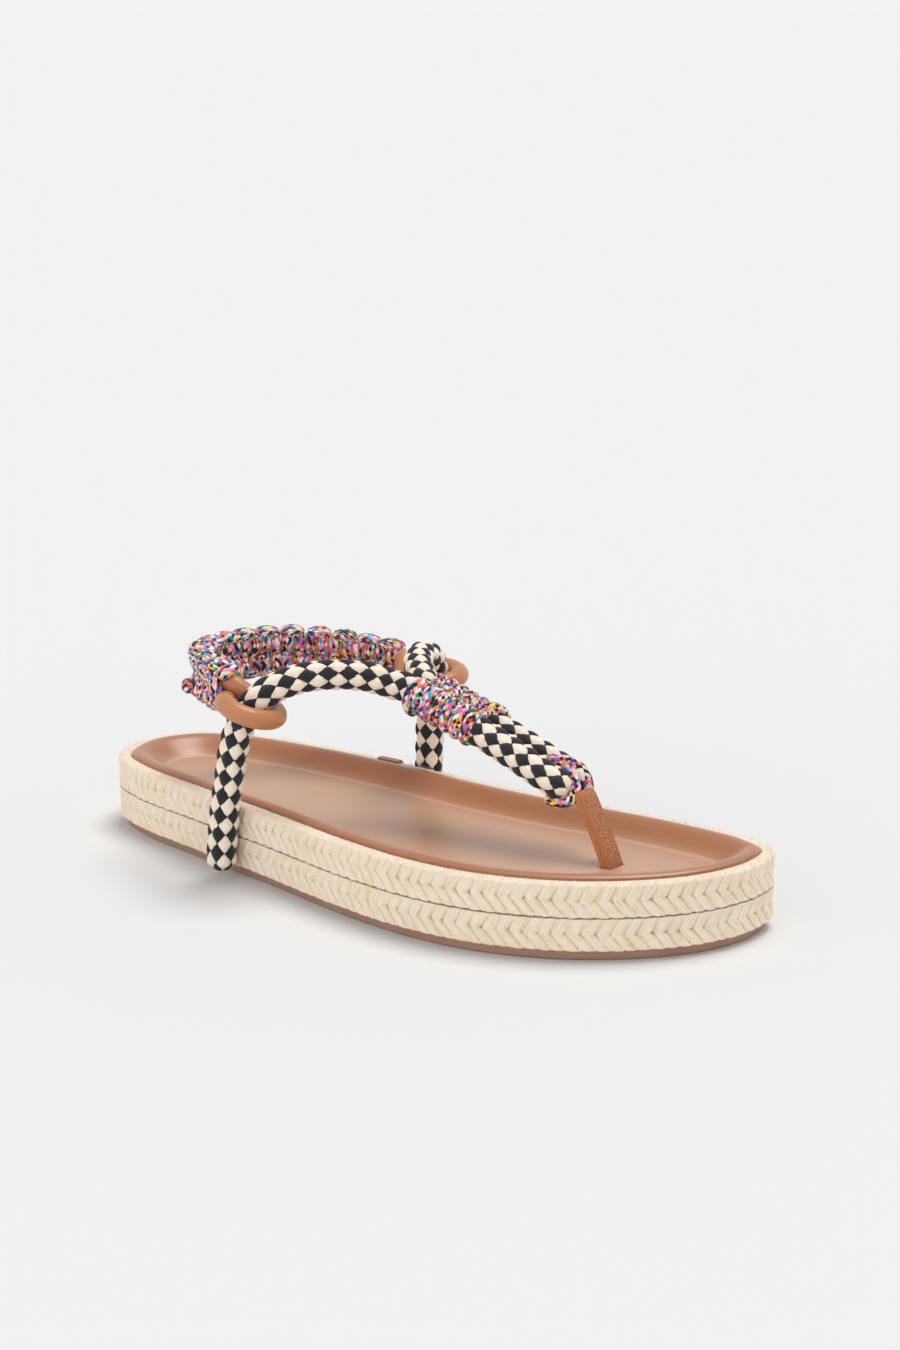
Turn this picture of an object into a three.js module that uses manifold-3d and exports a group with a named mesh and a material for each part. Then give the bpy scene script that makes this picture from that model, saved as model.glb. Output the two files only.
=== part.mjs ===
// Toe post sandal, right foot, on a sole edged with two rows of plaited jute.
// Millimetres, +X towards the toes, +Y towards the inner side of the foot, +Z up, sole on z = 0.
// Routes and outlines are worked out from the heel tip along the foot; the whole sandal is then
// set with the middle of its box over the origin.

import * as THREE from 'three';
import { mergeVertices } from 'three/addons/utils/BufferGeometryUtils.js';
import Module from 'manifold-3d';

const wasm = await Module();
wasm.setup();

// Sole
const SOLE_LENGTH = 262;
const SOLE_WIDTH = 92.4;
const OUTSOLE_THICKNESS = 3.1;
const OUTSOLE_INSET = 3;
const OUTSOLE_EDGE = 0.5;

// Plaited jute edge, two equal rows
const BRAID_HEIGHT = 10.9;
const BRAID_DEPTH = 4.4;
const BRAID_STRAND_PITCH = 6.2;
const BRAID_RELIEF = 0.5;

// Footbed covered with leather
const RIM_HEIGHT = 1.3;
const RIM_WIDTH = 14;
const BED_DEPTH = 6.2;

// Checkered cord of the upper
const CORD_DIAMETER = 10;
const CORD_DIAMOND = 7;
const CORD_RELIEF = 0.35;
const CORD_STRANDS = 12;
const INSTEP_HEIGHT = 73;
const LATERAL_LEG_AT = 83.4;
const MEDIAL_LEG_AT = 104.2;
const LEG_FREE_HEIGHT = 28;

// Knotted fine cord
const FINE_CORD_DIAMETER = 4;
const KNOT_LENGTH = 8.4;
const INSTEP_KNOTS = 4;
const INSTEP_WRAP_AT = 133;
const SLEEVE_FROM = 137;

// Heel strap, hung from the cords of the upper
const LOOP_CORD_DIAMETER = 6.8;
const HEEL_STRAP_HEIGHT = 0.877 * INSTEP_HEIGHT;
const HEEL_KNOTS = 13;

// Toe post
const POST_AT = 217.4;
const POST_ACROSS = -4.6;
const POST_WIDTH = 7.6;
const POST_THICKNESS = 3.8;
const POST_ROOT = 8;
const POST_LEAN = 11.2;
const POST_SWAY = 0.9;
const TOE_JOINT_HEIGHT = 43.3;
const THONG_TIP_BACK = 16.2;

// Leather patch over the joint in the jute
const PATCH_FROM = 87;
const PATCH_LENGTH = 10;
const PATCH_THICKNESS = 0.8;

const CLEARANCE = 0.3;

const BRAID_STEPS = 144;
const PLAIN_STEPS = 84;

const v3 = (x, y, z) => new THREE.Vector3(x, y, z);

// Half widths of the sole over the jute, as shares of SOLE_WIDTH, at shares of SOLE_LENGTH
const OUTLINE = [
  { along: 0.03, lateral: 0.224, medial: 0.213 },
  { along: 0.10, lateral: 0.326, medial: 0.327 },
  { along: 0.22, lateral: 0.399, medial: 0.380 },
  { along: 0.38, lateral: 0.483, medial: 0.389 },
  { along: 0.54, lateral: 0.579, medial: 0.368 },
  { along: 0.66, lateral: 0.615, medial: 0.375 },
  { along: 0.76, lateral: 0.583, medial: 0.404 },
  { along: 0.86, lateral: 0.465, medial: 0.411 },
  { along: 0.94, lateral: 0.270, medial: 0.387 },
  { along: 0.985, lateral: 0.065, medial: 0.319 },
];
const TOE_TIP_ACROSS = 0.147;

function soleCurve() {
  const side = (share, along) => v3(along * SOLE_LENGTH, share * SOLE_WIDTH, 0);
  const medial = OUTLINE.map((row) => side(row.medial, row.along));
  const lateral = OUTLINE.map((row) => side(-row.lateral, row.along)).reverse();
  const points = [side(0, 0), ...medial, side(TOE_TIP_ACROSS, 1), ...lateral];
  return new THREE.CatmullRomCurve3(points, true, 'centripetal');
}

// Even points round the sole with their outward directions
function soleOutline(steps) {
  const points = soleCurve().getSpacedPoints(steps).slice(0, steps);
  return points.map((point, i) => {
    const next = points[(i + 1) % steps];
    const last = points[(i + steps - 1) % steps];
    const along = next.clone().sub(last).normalize();
    return { point, out: v3(-along.y, along.x, 0) };
  });
}

// How far the sole reaches sideways at a place along the foot; side is +1 medial, -1 lateral
const FINE_OUTLINE = soleOutline(720);
function halfWidthAt(x, side) {
  const near = FINE_OUTLINE.filter(({ point }) => point.y * side > 0 && Math.abs(point.x - x) < 2);
  return Math.max(...near.map(({ point }) => point.y * side));
}

function ringAt(outline, inset, z) {
  return outline.map(({ point, out }) => v3(point.x, point.y, z).addScaledVector(out, -inset));
}

// Closed skin through rows of points; each row is a closed loop. The rows either close on
// themselves or end in lids: a fan round the middle, or a strip where a row is a thin bent wall
// whose two faces run there and back.
function skin(rows, closed = false, thinWall = false) {
  const count = rows[0].length;
  const points = rows.flat();
  const index = [];
  const bands = closed ? rows.length : rows.length - 1;
  for (let r = 0; r < bands; r += 1) {
    const a = r * count;
    const b = ((r + 1) % rows.length) * count;
    for (let i = 0; i < count; i += 1) {
      const j = (i + 1) % count;
      index.push(a + i, a + j, b + j, a + i, b + j, b + i);
    }
  }
  const lids = closed ? [] : [0, rows.length - 1];
  lids.forEach((r) => {
    const faces = thinWall ? stripLid(count) : fanLid(count, points.length);
    if (!thinWall) points.push(rows[r].reduce((sum, p) => sum.add(p), v3(0, 0, 0)).divideScalar(count));
    faces.forEach((face) => {
      const corners = face.map((k) => (k < count ? r * count + k : k));
      index.push(...(r === 0 ? corners.reverse() : corners));
    });
  });
  const geometry = new THREE.BufferGeometry();
  geometry.setAttribute('position', new THREE.Float32BufferAttribute(points.flatMap((p) => [...p]), 3));
  geometry.setIndex(index);
  return facingOut(geometry);
}

function fanLid(count, centre) {
  return Array.from({ length: count }, (_, i) => [centre, i, (i + 1) % count]);
}

function stripLid(count) {
  return Array.from({ length: count / 2 - 1 }, (_, i) => {
    const back = count - 1 - i;
    return [[i, i + 1, back], [i + 1, back - 1, back]];
  }).flat();
}

function facingOut(geometry) {
  const p = geometry.attributes.position;
  const index = geometry.index.array;
  const corner = (k) => new THREE.Vector3().fromBufferAttribute(p, index[k]);
  let volume = 0;
  for (let k = 0; k < index.length; k += 3) {
    volume += corner(k).dot(corner(k + 1).cross(corner(k + 2)));
  }
  if (volume < 0) {
    for (let k = 0; k < index.length; k += 3) {
      [index[k], index[k + 1]] = [index[k + 1], index[k]];
    }
  }
  return geometry;
}

function toSolid(geometry) {
  const plain = new THREE.BufferGeometry();
  plain.setAttribute('position', geometry.attributes.position);
  plain.setIndex(geometry.index);
  const merged = mergeVertices(plain, 1e-5);
  return new wasm.Manifold(new wasm.Mesh({
    numProp: 3,
    vertProperties: new Float32Array(merged.attributes.position.array),
    triVerts: new Uint32Array(merged.index.array),
  }));
}

function fromSolid(solid) {
  const mesh = solid.getMesh();
  const geometry = new THREE.BufferGeometry();
  geometry.setAttribute('position', new THREE.Float32BufferAttribute(mesh.vertProperties, 3));
  geometry.setIndex([...mesh.triVerts]);
  return geometry;
}

// Frames along a curve that turn as little as they can, from a given first sideways direction
function framesAlong(points, side, closed = false) {
  const count = points.length;
  let across = side.clone();
  return points.map((point, i) => {
    const next = closed ? points[(i + 1) % count] : points[Math.min(i + 1, count - 1)];
    const last = closed ? points[(i + count - 1) % count] : points[Math.max(i - 1, 0)];
    const along = next.clone().sub(last).normalize();
    across = across.clone().addScaledVector(along, -across.dot(along)).normalize();
    return { point, along, across, up: along.clone().cross(across).normalize() };
  });
}

// A section swept along points; section(i) gives its own [across, up] pairs at step i
function sweep(frames, section, closed = false) {
  const rows = frames.map(({ point, across, up }, i) => section(i).map(([a, u]) => (
    point.clone().addScaledVector(across, a).addScaledVector(up, u))));
  return skin(rows, closed);
}

function circle(radius, sides, shape = () => 1) {
  return Array.from({ length: sides }, (_, k) => {
    const angle = (2 * Math.PI * k) / sides;
    return [radius * shape(k) * Math.cos(angle), radius * shape(k) * Math.sin(angle)];
  });
}

// Oval with flattened sides, for what is wound round two cords side by side
function flatOval(width, height, sides) {
  return Array.from({ length: sides }, (_, k) => {
    const angle = (2 * Math.PI * (k + 0.5)) / sides;
    const c = Math.cos(angle);
    const s = Math.sin(angle);
    const power = 0.7;
    return [
      (width / 2) * Math.sign(c) * Math.abs(c) ** power,
      (height / 2) * Math.sign(s) * Math.abs(s) ** power,
    ];
  });
}

const BRAID_BASE = OUTSOLE_THICKNESS + CLEARANCE;
const BRAID_TOP = BRAID_BASE + 2 * BRAID_HEIGHT + CLEARANCE;
const RIM_TOP = BRAID_TOP + RIM_HEIGHT;
const BED_HEIGHT = RIM_TOP - BED_DEPTH;

// Outsole: a flat rubber plate with a small rounded edge, set in under the jute
function makeOutsole() {
  const outline = soleOutline(PLAIN_STEPS);
  return skin([
    ringAt(outline, OUTSOLE_INSET + OUTSOLE_EDGE, 0),
    ringAt(outline, OUTSOLE_INSET, OUTSOLE_EDGE),
    ringAt(outline, OUTSOLE_INSET, OUTSOLE_THICKNESS),
  ]);
}

// Profile of one jute row: height as a share of the row, inset as a share of its depth.
// lean slides the strands along the row, ridge says how much of their relief shows.
const BRAID_PROFILE = [
  { up: 0, inset: 0.45, lean: 1.5, ridge: 0 },
  { up: 0.26, inset: 0.05, lean: 0.8, ridge: 1 },
  { up: 0.5, inset: 0.1, lean: 0, ridge: 0.3 },
  { up: 0.76, inset: 0.05, lean: 0.8, ridge: -1 },
  { up: 1, inset: 0.5, lean: 1.5, ridge: 0 },
];

function makeBraid(base) {
  const outline = soleOutline(BRAID_STEPS);
  const round = soleCurve().getLength();
  const strands = Math.round(round / BRAID_STRAND_PITCH);
  const rows = outline.map((_, i) => {
    const turn = (i / BRAID_STEPS) * strands;
    const ring = BRAID_PROFILE.map((level) => {
      const at = (i + level.lean + BRAID_STEPS) % BRAID_STEPS;
      const here = outline[Math.floor(at)];
      const next = outline[Math.ceil(at) % BRAID_STEPS];
      const blend = at - Math.floor(at);
      const out = here.out.clone().lerp(next.out, blend).normalize();
      const wave = (1 - level.ridge * Math.cos(2 * Math.PI * turn)) / 2;
      const inset = level.inset * BRAID_DEPTH + wave * BRAID_RELIEF;
      return here.point.clone().lerp(next.point, blend)
        .addScaledVector(out, -inset).setZ(base + level.up * BRAID_HEIGHT);
    });
    const inner = outline[i].point.clone().addScaledVector(outline[i].out, -BRAID_DEPTH);
    return [...ring, inner.clone().setZ(base + BRAID_HEIGHT), inner.clone().setZ(base)];
  });
  return skin(rows, true);
}

// Footbed: walls inside the jute, a rounded rim, and a bed sunk below it.
// inward is a share of RIM_WIDTH, drop a share of BED_DEPTH below the top of the rim.
const RIM_PROFILE = [
  { inward: 0.03, drop: 0.16 },
  { inward: 0.12, drop: 0.03 },
  { inward: 0.22, drop: 0 },
  { inward: 0.36, drop: 0.12 },
  { inward: 0.60, drop: 0.52 },
  { inward: 0.84, drop: 0.9 },
  { inward: 1, drop: 1 },
];

function makeFootbed() {
  const outline = soleOutline(PLAIN_STEPS);
  const wall = BRAID_DEPTH + CLEARANCE;
  const rows = [
    ringAt(outline, wall, BRAID_BASE),
    ringAt(outline, wall, BRAID_TOP),
    ...RIM_PROFILE.map(({ inward, drop }) => (
      ringAt(outline, wall + inward * RIM_WIDTH, RIM_TOP - drop * BED_DEPTH))),
  ];
  return fromSolid(toSolid(skin(rows)).subtract(toSolid(postShape(CLEARANCE))));
}

// Toe post: a strip of leather folded double, leaning back from its slot to the cords
function postShape(grow) {
  const foot = BED_HEIGHT - POST_ROOT;
  const top = TOE_JOINT_HEIGHT - CORD_DIAMETER * 0.22;
  const rise = [0, 0.24, 0.5, 0.76, 1];
  const lean = [-0.045, 0, 0.286, 0.643, 1];
  const points = rise.map((share, i) => {
    const z = i === 0 ? foot - grow : THREE.MathUtils.lerp(foot, top + grow, share);
    return v3(POST_AT - lean[i] * POST_LEAN, POST_ACROSS + share * POST_SWAY, z);
  });
  const half = [POST_WIDTH / 2 + grow, POST_THICKNESS / 2 + grow];
  const corners = [[1, -0.55], [1, 0.55], [0.8, 1], [-0.8, 1], [-1, 0.55], [-1, -0.55], [-0.8, -1], [0.8, -1]];
  const section = corners.map(([a, u]) => [a * half[0], u * half[1]]);
  return sweep(framesAlong(points, v3(0, 1, 0)), () => section);
}

// Routes of the two checkered cords: along in shares of SOLE_LENGTH, across in shares of
// SOLE_WIDTH, up in shares of INSTEP_HEIGHT, from where each leg leaves the side of the sole
const LATERAL_ROUTE = [
  { along: 0.334, across: -0.506, up: 0.480 },
  { along: 0.340, across: -0.504, up: 0.610 },
  { along: 0.348, across: -0.500, up: 0.715 },
  { along: 0.358, across: -0.495, up: 0.800 },
  { along: 0.370, across: -0.484, up: 0.865 },
  { along: 0.388, across: -0.444, up: 0.935 },
  { along: 0.411, across: -0.370, up: 0.983 },
  { along: 0.428, across: -0.312, up: 0.996 },
  { along: 0.442, across: -0.260, up: 0.996 },
  { along: 0.457, across: -0.203, up: 0.988 },
  { along: 0.473, across: -0.148, up: 0.970 },
  { along: 0.490, across: -0.105, up: 0.942 },
];
const MEDIAL_ROUTE = [
  { along: 0.398, across: 0.449, up: 0.440 },
  { along: 0.399, across: 0.448, up: 0.570 },
  { along: 0.403, across: 0.444, up: 0.674 },
  { along: 0.408, across: 0.435, up: 0.771 },
  { along: 0.414, across: 0.416, up: 0.855 },
  { along: 0.420, across: 0.379, up: 0.909 },
  { along: 0.427, across: 0.325, up: 0.943 },
  { along: 0.436, across: 0.262, up: 0.955 },
  { along: 0.449, across: 0.200, up: 0.953 },
  { along: 0.466, across: 0.145, up: 0.944 },
  { along: 0.485, across: 0.095, up: 0.931 },
];
const THONG_ACROSS = -2;
const THONG_ARCH = 1.1;
const THONG_ROLL = { start: 0.75, end: 0.3 };
const THONG_TIP_AT = POST_AT - THONG_TIP_BACK;

// Heights of the points of each leg, as shares of LEG_FREE_HEIGHT
const LEG_SHARES = [0.132, 0.32, 0.54, 0.79, 1];

// Centre line of the thong, where both cords lie side by side, from the wrap to the toe joint
function thongPoint(x, side) {
  const start = v3(INSTEP_WRAP_AT, THONG_ACROSS, INSTEP_HEIGHT * 0.918);
  const end = v3(THONG_TIP_AT, THONG_ACROSS - 0.6, TOE_JOINT_HEIGHT);
  const share = (x - INSTEP_WRAP_AT) / (THONG_TIP_AT - INSTEP_WRAP_AT);
  const spread = (CORD_DIAMETER + CLEARANCE) / 2;
  const pinch = share > 0.9 ? 1 - 2.8 * (share - 0.9) : 1;
  const arch = THONG_ARCH * 4 * share * (1 - share);
  const roll = THREE.MathUtils.lerp(THONG_ROLL.end, THONG_ROLL.start, (1 - share) ** 2);
  return start.lerp(end, share).add(v3(0, side * spread * pinch, arch - side * roll));
}

function cordRoute(side) {
  const legAt = side > 0 ? MEDIAL_LEG_AT : LATERAL_LEG_AT;
  const route = side > 0 ? MEDIAL_ROUTE : LATERAL_ROUTE;
  const out = side * (halfWidthAt(legAt, side) + CORD_DIAMETER / 2 + CLEARANCE);
  const legTop = route[0];
  const lean = (z) => (legTop.along * SOLE_LENGTH - legAt) * (z / (legTop.up * INSTEP_HEIGHT)) ** 1.5;
  const leg = LEG_SHARES.map((share) => share * LEG_FREE_HEIGHT)
    .map((z) => v3(legAt + lean(z), out, z));
  const arch = route.map(({ along, across, up }) => (
    v3(along * SOLE_LENGTH, across * SOLE_WIDTH, up * INSTEP_HEIGHT)));
  const thongShares = [0.01, 0.14, 0.3, 0.5, 0.7, 0.88, 1];
  const thong = thongShares.map((share) => (
    thongPoint(THREE.MathUtils.lerp(INSTEP_WRAP_AT, THONG_TIP_AT, share), side)));
  return new THREE.CatmullRomCurve3([...leg, ...arch, ...thong], false, 'centripetal');
}

// Cord plaited from twelve strands: the diamonds stand proud of the lines between them
function cordShape(side, grow = 0) {
  const curve = cordRoute(side);
  const steps = Math.round(curve.getLength() / (CORD_DIAMOND / 2));
  const points = curve.getSpacedPoints(steps);
  const frames = framesAlong(points, v3(1, 0, 0));
  const taper = [0.62, 0.9];
  return sweep(frames, (i) => {
    const end = Math.min(i, steps - i);
    const radius = (CORD_DIAMETER / 2) * (taper[end] ?? 1) + grow;
    const low = grow > 0 ? 1 : 1 - CORD_RELIEF / (CORD_DIAMETER / 2);
    return circle(radius, CORD_STRANDS, (k) => ((k + i) % 2 === 0 ? 1 : low));
  });
}

// Sleeve of square knots over the start of the thong. The cord that it is tied in bends forward
// as it goes over, so the sleeve is shorter along the thong than its knots laid flat.
const SLEEVE_SHARE = 0.8;
function makeInstepKnots() {
  const rowsPerKnot = 3;
  const rows = INSTEP_KNOTS * rowsPerKnot;
  const swell = [0.9, 1.01, 1];
  const reach = SLEEVE_SHARE * INSTEP_KNOTS * KNOT_LENGTH;
  const points = Array.from({ length: rows + 1 }, (_, i) => (
    thongPoint(SLEEVE_FROM + (reach * i) / rows, 0)));
  const width = 2 * CORD_DIAMETER + CLEARANCE + 0.75 * FINE_CORD_DIAMETER;
  const height = CORD_DIAMETER + 0.85 * FINE_CORD_DIAMETER;
  const outer = sweep(framesAlong(points, v3(0, 1, 0)), (i) => {
    const scale = i === 0 || i === rows ? 0.9 : swell[i % rowsPerKnot];
    return flatOval(width * scale, height * (0.5 + scale / 2), 16);
  });
  return fromSolid(toSolid(outer)
    .subtract(toSolid(cordShape(1, CLEARANCE)))
    .subtract(toSolid(cordShape(-1, CLEARANCE))));
}

// Tie of fine cord that gathers the two cord ends and passes through the fold of the toe post
function makeToeTie() {
  const shares = [0.95, 0.965, 0.99, 1.025, 1.045];
  const widths = [0.94, 0.98, 0.94, 0.8, 0.56];
  const heights = [1.04, 1.14, 1.12, 0.96, 0.72];
  const points = shares.map((share) => (
    thongPoint(THREE.MathUtils.lerp(INSTEP_WRAP_AT, THONG_TIP_AT, share), 0)));
  const outer = sweep(framesAlong(points, v3(0, 1, 0)), (i) => (
    flatOval(2.1 * CORD_DIAMETER * widths[i], CORD_DIAMETER * heights[i], 16)));
  return fromSolid(toSolid(outer)
    .subtract(toSolid(cordShape(1, CLEARANCE)))
    .subtract(toSolid(cordShape(-1, CLEARANCE)))
    .subtract(toSolid(postShape(CLEARANCE))));
}

// Line of the heel strap: along in shares of SOLE_LENGTH, across in shares of SOLE_WIDTH, up in
// shares of HEEL_STRAP_HEIGHT, from the lateral loop round the heel to the medial
const HEEL_ROUTE = [
  { along: 0.3080, across: -0.435, up: 1.022 },
  { along: 0.2700, across: -0.385, up: 1.028 },
  { along: 0.2260, across: -0.308, up: 1.028 },
  { along: 0.1930, across: -0.180, up: 1.019 },
  { along: 0.1820, across: -0.020, up: 1.006 },
  { along: 0.1930, across: 0.142, up: 0.997 },
  { along: 0.2230, across: 0.268, up: 0.988 },
  { along: 0.2670, across: 0.344, up: 0.972 },
  { along: 0.3130, across: 0.386, up: 0.953 },
  { along: 0.3580, across: 0.410, up: 0.938 },
];
// Each loop lies in a plane that falls towards the toes by its dip and outwards by its tilt
const LATERAL_LOOP = { along: 0.3685, across: -0.4860, up: 0.9710, dip: 0.26, tilt: -0.15 };
const MEDIAL_LOOP = { along: 0.4082, across: 0.4225, up: 0.922, dip: 0.05, tilt: -0.1 };

function heelPoint({ along, across, up }) {
  return v3(along * SOLE_LENGTH, across * SOLE_WIDTH, up * HEEL_STRAP_HEIGHT);
}

// The two runs of leather cord lie one above the other round the heel and open out, side by
// side, into a loop round each checkered cord
function heelLoopCurve() {
  const line = HEEL_ROUTE.map(heelPoint);
  const half = (LOOP_CORD_DIAMETER + CLEARANCE) / 2;
  const upper = line.map((p) => p.clone().add(v3(0, 0, half)));
  const lower = line.map((p) => p.clone().add(v3(0, 0, -half))).reverse();
  const reach = CORD_DIAMETER / 2 + LOOP_CORD_DIAMETER / 2 + 4 * CLEARANCE;
  const loop = (place, side) => {
    const centre = heelPoint(place);
    const ahead = v3(1, side * 0.12, -place.dip).normalize();
    const across = v3(0, side, -place.tilt).normalize();
    return [-118, -80, -40, 0, 40, 80, 118].map((degrees) => {
      const angle = THREE.MathUtils.degToRad(degrees);
      return centre.clone().addScaledVector(ahead, reach * Math.cos(angle))
        .addScaledVector(across, reach * Math.sin(angle));
    });
  };
  const medialLoop = loop(MEDIAL_LOOP, 1);
  const lateralLoop = loop(LATERAL_LOOP, -1).reverse();
  return new THREE.CatmullRomCurve3([...upper, ...medialLoop, ...lower, ...lateralLoop], true, 'centripetal');
}

function heelLoopShape(grow = 0) {
  const curve = heelLoopCurve();
  const steps = Math.round(curve.getLength() / (0.9 * LOOP_CORD_DIAMETER));
  const points = curve.getSpacedPoints(steps).slice(0, steps);
  const frames = framesAlong(points, v3(0, 1, 0), true);
  return sweep(frames, () => circle(LOOP_CORD_DIAMETER / 2 + grow, 8), true);
}

// Square knots tied round both runs of the leather cord, one bead after another
function makeHeelKnots() {
  const curve = new THREE.CatmullRomCurve3(HEEL_ROUTE.map(heelPoint), false, 'centripetal');
  const rowsPerKnot = 3;
  const rows = HEEL_KNOTS * rowsPerKnot;
  const swell = [0.9, 1.02, 1.02];
  const points = curve.getSpacedPoints(rows);
  const width = LOOP_CORD_DIAMETER + 1.5 * FINE_CORD_DIAMETER;
  const height = 2 * LOOP_CORD_DIAMETER + CLEARANCE + 1.5 * FINE_CORD_DIAMETER;
  const outer = sweep(framesAlong(points, v3(0, 1, 0)), (i) => {
    const scale = i === rows ? swell[0] : swell[i % rowsPerKnot];
    return flatOval(width * (0.4 + 0.6 * scale), height * scale, 12);
  });
  return fromSolid(toSolid(outer).subtract(toSolid(heelLoopShape(CLEARANCE))));
}

// Leather patch folded down over the joint in the jute, on the medial side
function makeJointPatch() {
  const arc = FINE_OUTLINE.filter(({ point }) => (
    point.y > 0 && point.x > PATCH_FROM && point.x < PATCH_FROM + PATCH_LENGTH));
  const steps = 5;
  const places = Array.from({ length: steps }, (_, i) => arc[Math.round((i * (arc.length - 1)) / (steps - 1))]);
  const shell = [
    { inset: 0, z: BRAID_BASE + 1 },
    { inset: 0, z: BRAID_TOP - 0.24 * BRAID_HEIGHT },
    { inset: 0.5 * BRAID_DEPTH, z: BRAID_TOP },
    { inset: 0.9 * BRAID_DEPTH, z: BRAID_TOP },
  ];
  const grown = (by) => shell.map(({ inset, z }, i) => ({
    inset: inset - (i < 3 ? by : 0),
    z: z + (i > 1 ? by : 0),
  }));
  const inner = grown(CLEARANCE);
  const outer = grown(CLEARANCE + PATCH_THICKNESS).reverse();
  const rows = places.map(({ point, out }) => [...inner, ...outer].map(({ inset, z }) => (
    v3(point.x, point.y, z).addScaledVector(out, -inset))));
  return skin(rows, false, true);
}

function material(color, roughness) {
  return new THREE.MeshStandardMaterial({ color, roughness, metalness: 0 });
}

const RUBBER_BROWN = material(0x8b6553, 0.7);
const JUTE = material(0xe3cfa6, 0.95);
const TAN_LEATHER = material(0xb5713f, 0.5);
const CHECKERED_COTTON = material(0x8d8377, 0.9);
const FINE_CORD = material(0xb0609a, 0.85);

const sandal = new THREE.Group();

function add(name, geometry, finish) {
  const mesh = new THREE.Mesh(geometry, finish);
  mesh.name = name;
  sandal.add(mesh);
}

add('outsole', makeOutsole(), RUBBER_BROWN);
add('jute_braid_lower', makeBraid(BRAID_BASE), JUTE);
add('jute_braid_upper', makeBraid(BRAID_BASE + BRAID_HEIGHT + CLEARANCE), JUTE);
add('footbed', makeFootbed(), TAN_LEATHER);
add('jute_joint_patch', makeJointPatch(), TAN_LEATHER);
add('upper_cord_lateral', cordShape(-1), CHECKERED_COTTON);
add('upper_cord_medial', cordShape(1), CHECKERED_COTTON);
add('instep_knots', makeInstepKnots(), FINE_CORD);
add('toe_tie', makeToeTie(), FINE_CORD);
add('toe_post', postShape(0), TAN_LEATHER);
add('heel_loop_cord', heelLoopShape(), TAN_LEATHER);
add('heel_knots', makeHeelKnots(), FINE_CORD);

// Set the middle of the box over the origin
const box = new THREE.Box3().setFromObject(sandal);
sandal.position.set(-(box.min.x + box.max.x) / 2, -(box.min.y + box.max.y) / 2, 0);
sandal.updateMatrixWorld(true);

export default sandal;
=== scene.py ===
"""Looks of the toe post sandal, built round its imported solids."""

import math

import bpy
import numpy as np
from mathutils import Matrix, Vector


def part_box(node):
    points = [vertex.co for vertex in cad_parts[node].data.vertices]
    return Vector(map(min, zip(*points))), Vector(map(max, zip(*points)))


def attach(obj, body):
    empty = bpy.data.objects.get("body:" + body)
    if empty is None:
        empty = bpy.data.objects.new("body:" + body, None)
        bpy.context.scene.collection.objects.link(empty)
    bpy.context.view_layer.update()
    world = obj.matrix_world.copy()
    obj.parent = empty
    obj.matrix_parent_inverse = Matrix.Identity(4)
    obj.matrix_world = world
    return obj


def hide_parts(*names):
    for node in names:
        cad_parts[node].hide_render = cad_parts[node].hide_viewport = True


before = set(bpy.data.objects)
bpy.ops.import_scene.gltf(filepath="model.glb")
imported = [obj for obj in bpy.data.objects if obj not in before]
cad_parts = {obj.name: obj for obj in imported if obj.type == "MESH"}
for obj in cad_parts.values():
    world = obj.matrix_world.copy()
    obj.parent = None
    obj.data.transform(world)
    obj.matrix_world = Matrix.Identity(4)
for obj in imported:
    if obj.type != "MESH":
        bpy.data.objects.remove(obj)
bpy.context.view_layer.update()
bpy.ops.object.select_all(action="DESELECT")


# Camera, floor and light
# The empty sandal stands on a plain pale floor in soft studio light, seen from in front of its
# outer side and a little above. Lengths are millimetres from the heel tip, as on the last.
OUTSOLE_INSET = 3.0
POST_MIDDLE_ACROSS = -4.15
outsole_low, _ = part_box("outsole")
post_low, post_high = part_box("toe_post")
HEEL_TIP = np.array([
    outsole_low.x * 1000 - OUTSOLE_INSET,
    (post_low.y + post_high.y) / 2 * 1000 - POST_MIDDLE_ACROSS,
    0.0,
])


def in_row(points):
    """Millimetres from the heel tip as metres where the solids stand."""
    return (np.asarray(points, float) + HEEL_TIP) / 1000


CAMERA_AT = (695.85, -691.61, 289.76)
CAMERA_DOWN = 13.811
CAMERA_ROUND = 38.457
camera_data = bpy.data.cameras.new("camera")
camera_data.lens = 71.917
camera_data.clip_start = 0.01
camera = bpy.data.objects.new("camera", camera_data)
bpy.context.scene.collection.objects.link(camera)
camera.location = in_row(CAMERA_AT)
camera.rotation_euler = (math.radians(90 - CAMERA_DOWN), 0, math.radians(CAMERA_ROUND))
bpy.context.scene.camera = camera
bpy.context.scene.view_settings.view_transform = "Standard"


def tone(red, green, blue):
    """Screen colour from 0 to 255, as the shaders take it."""
    return tuple((c / 255 / 12.92) if c < 10.3 else ((c / 255 + 0.055) / 1.055) ** 2.4
                 for c in (red, green, blue)) + (1.0,)


def add_node(tree, kind, inputs=None, **settings):
    """A shader node, with its settings and its inputs as values or as links."""
    made = tree.nodes.new(kind)
    for name, value in settings.items():
        setattr(made, name, value)
    for socket, value in (inputs or {}).items():
        if isinstance(value, bpy.types.NodeSocket):
            tree.links.new(value, made.inputs[socket])
        else:
            made.inputs[socket].default_value = value
    return made


def new_material(name, roughness, **sockets):
    """A material, its tree and its shader, whose even values are given by the names of its sockets."""
    made = bpy.data.materials.new(name)
    made.use_nodes = True
    shader = made.node_tree.nodes["Principled BSDF"]
    shader.inputs["Roughness"].default_value = roughness
    for socket, value in sockets.items():
        shader.inputs[socket.replace("_", " ")].default_value = value
    return made, made.node_tree, shader


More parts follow.
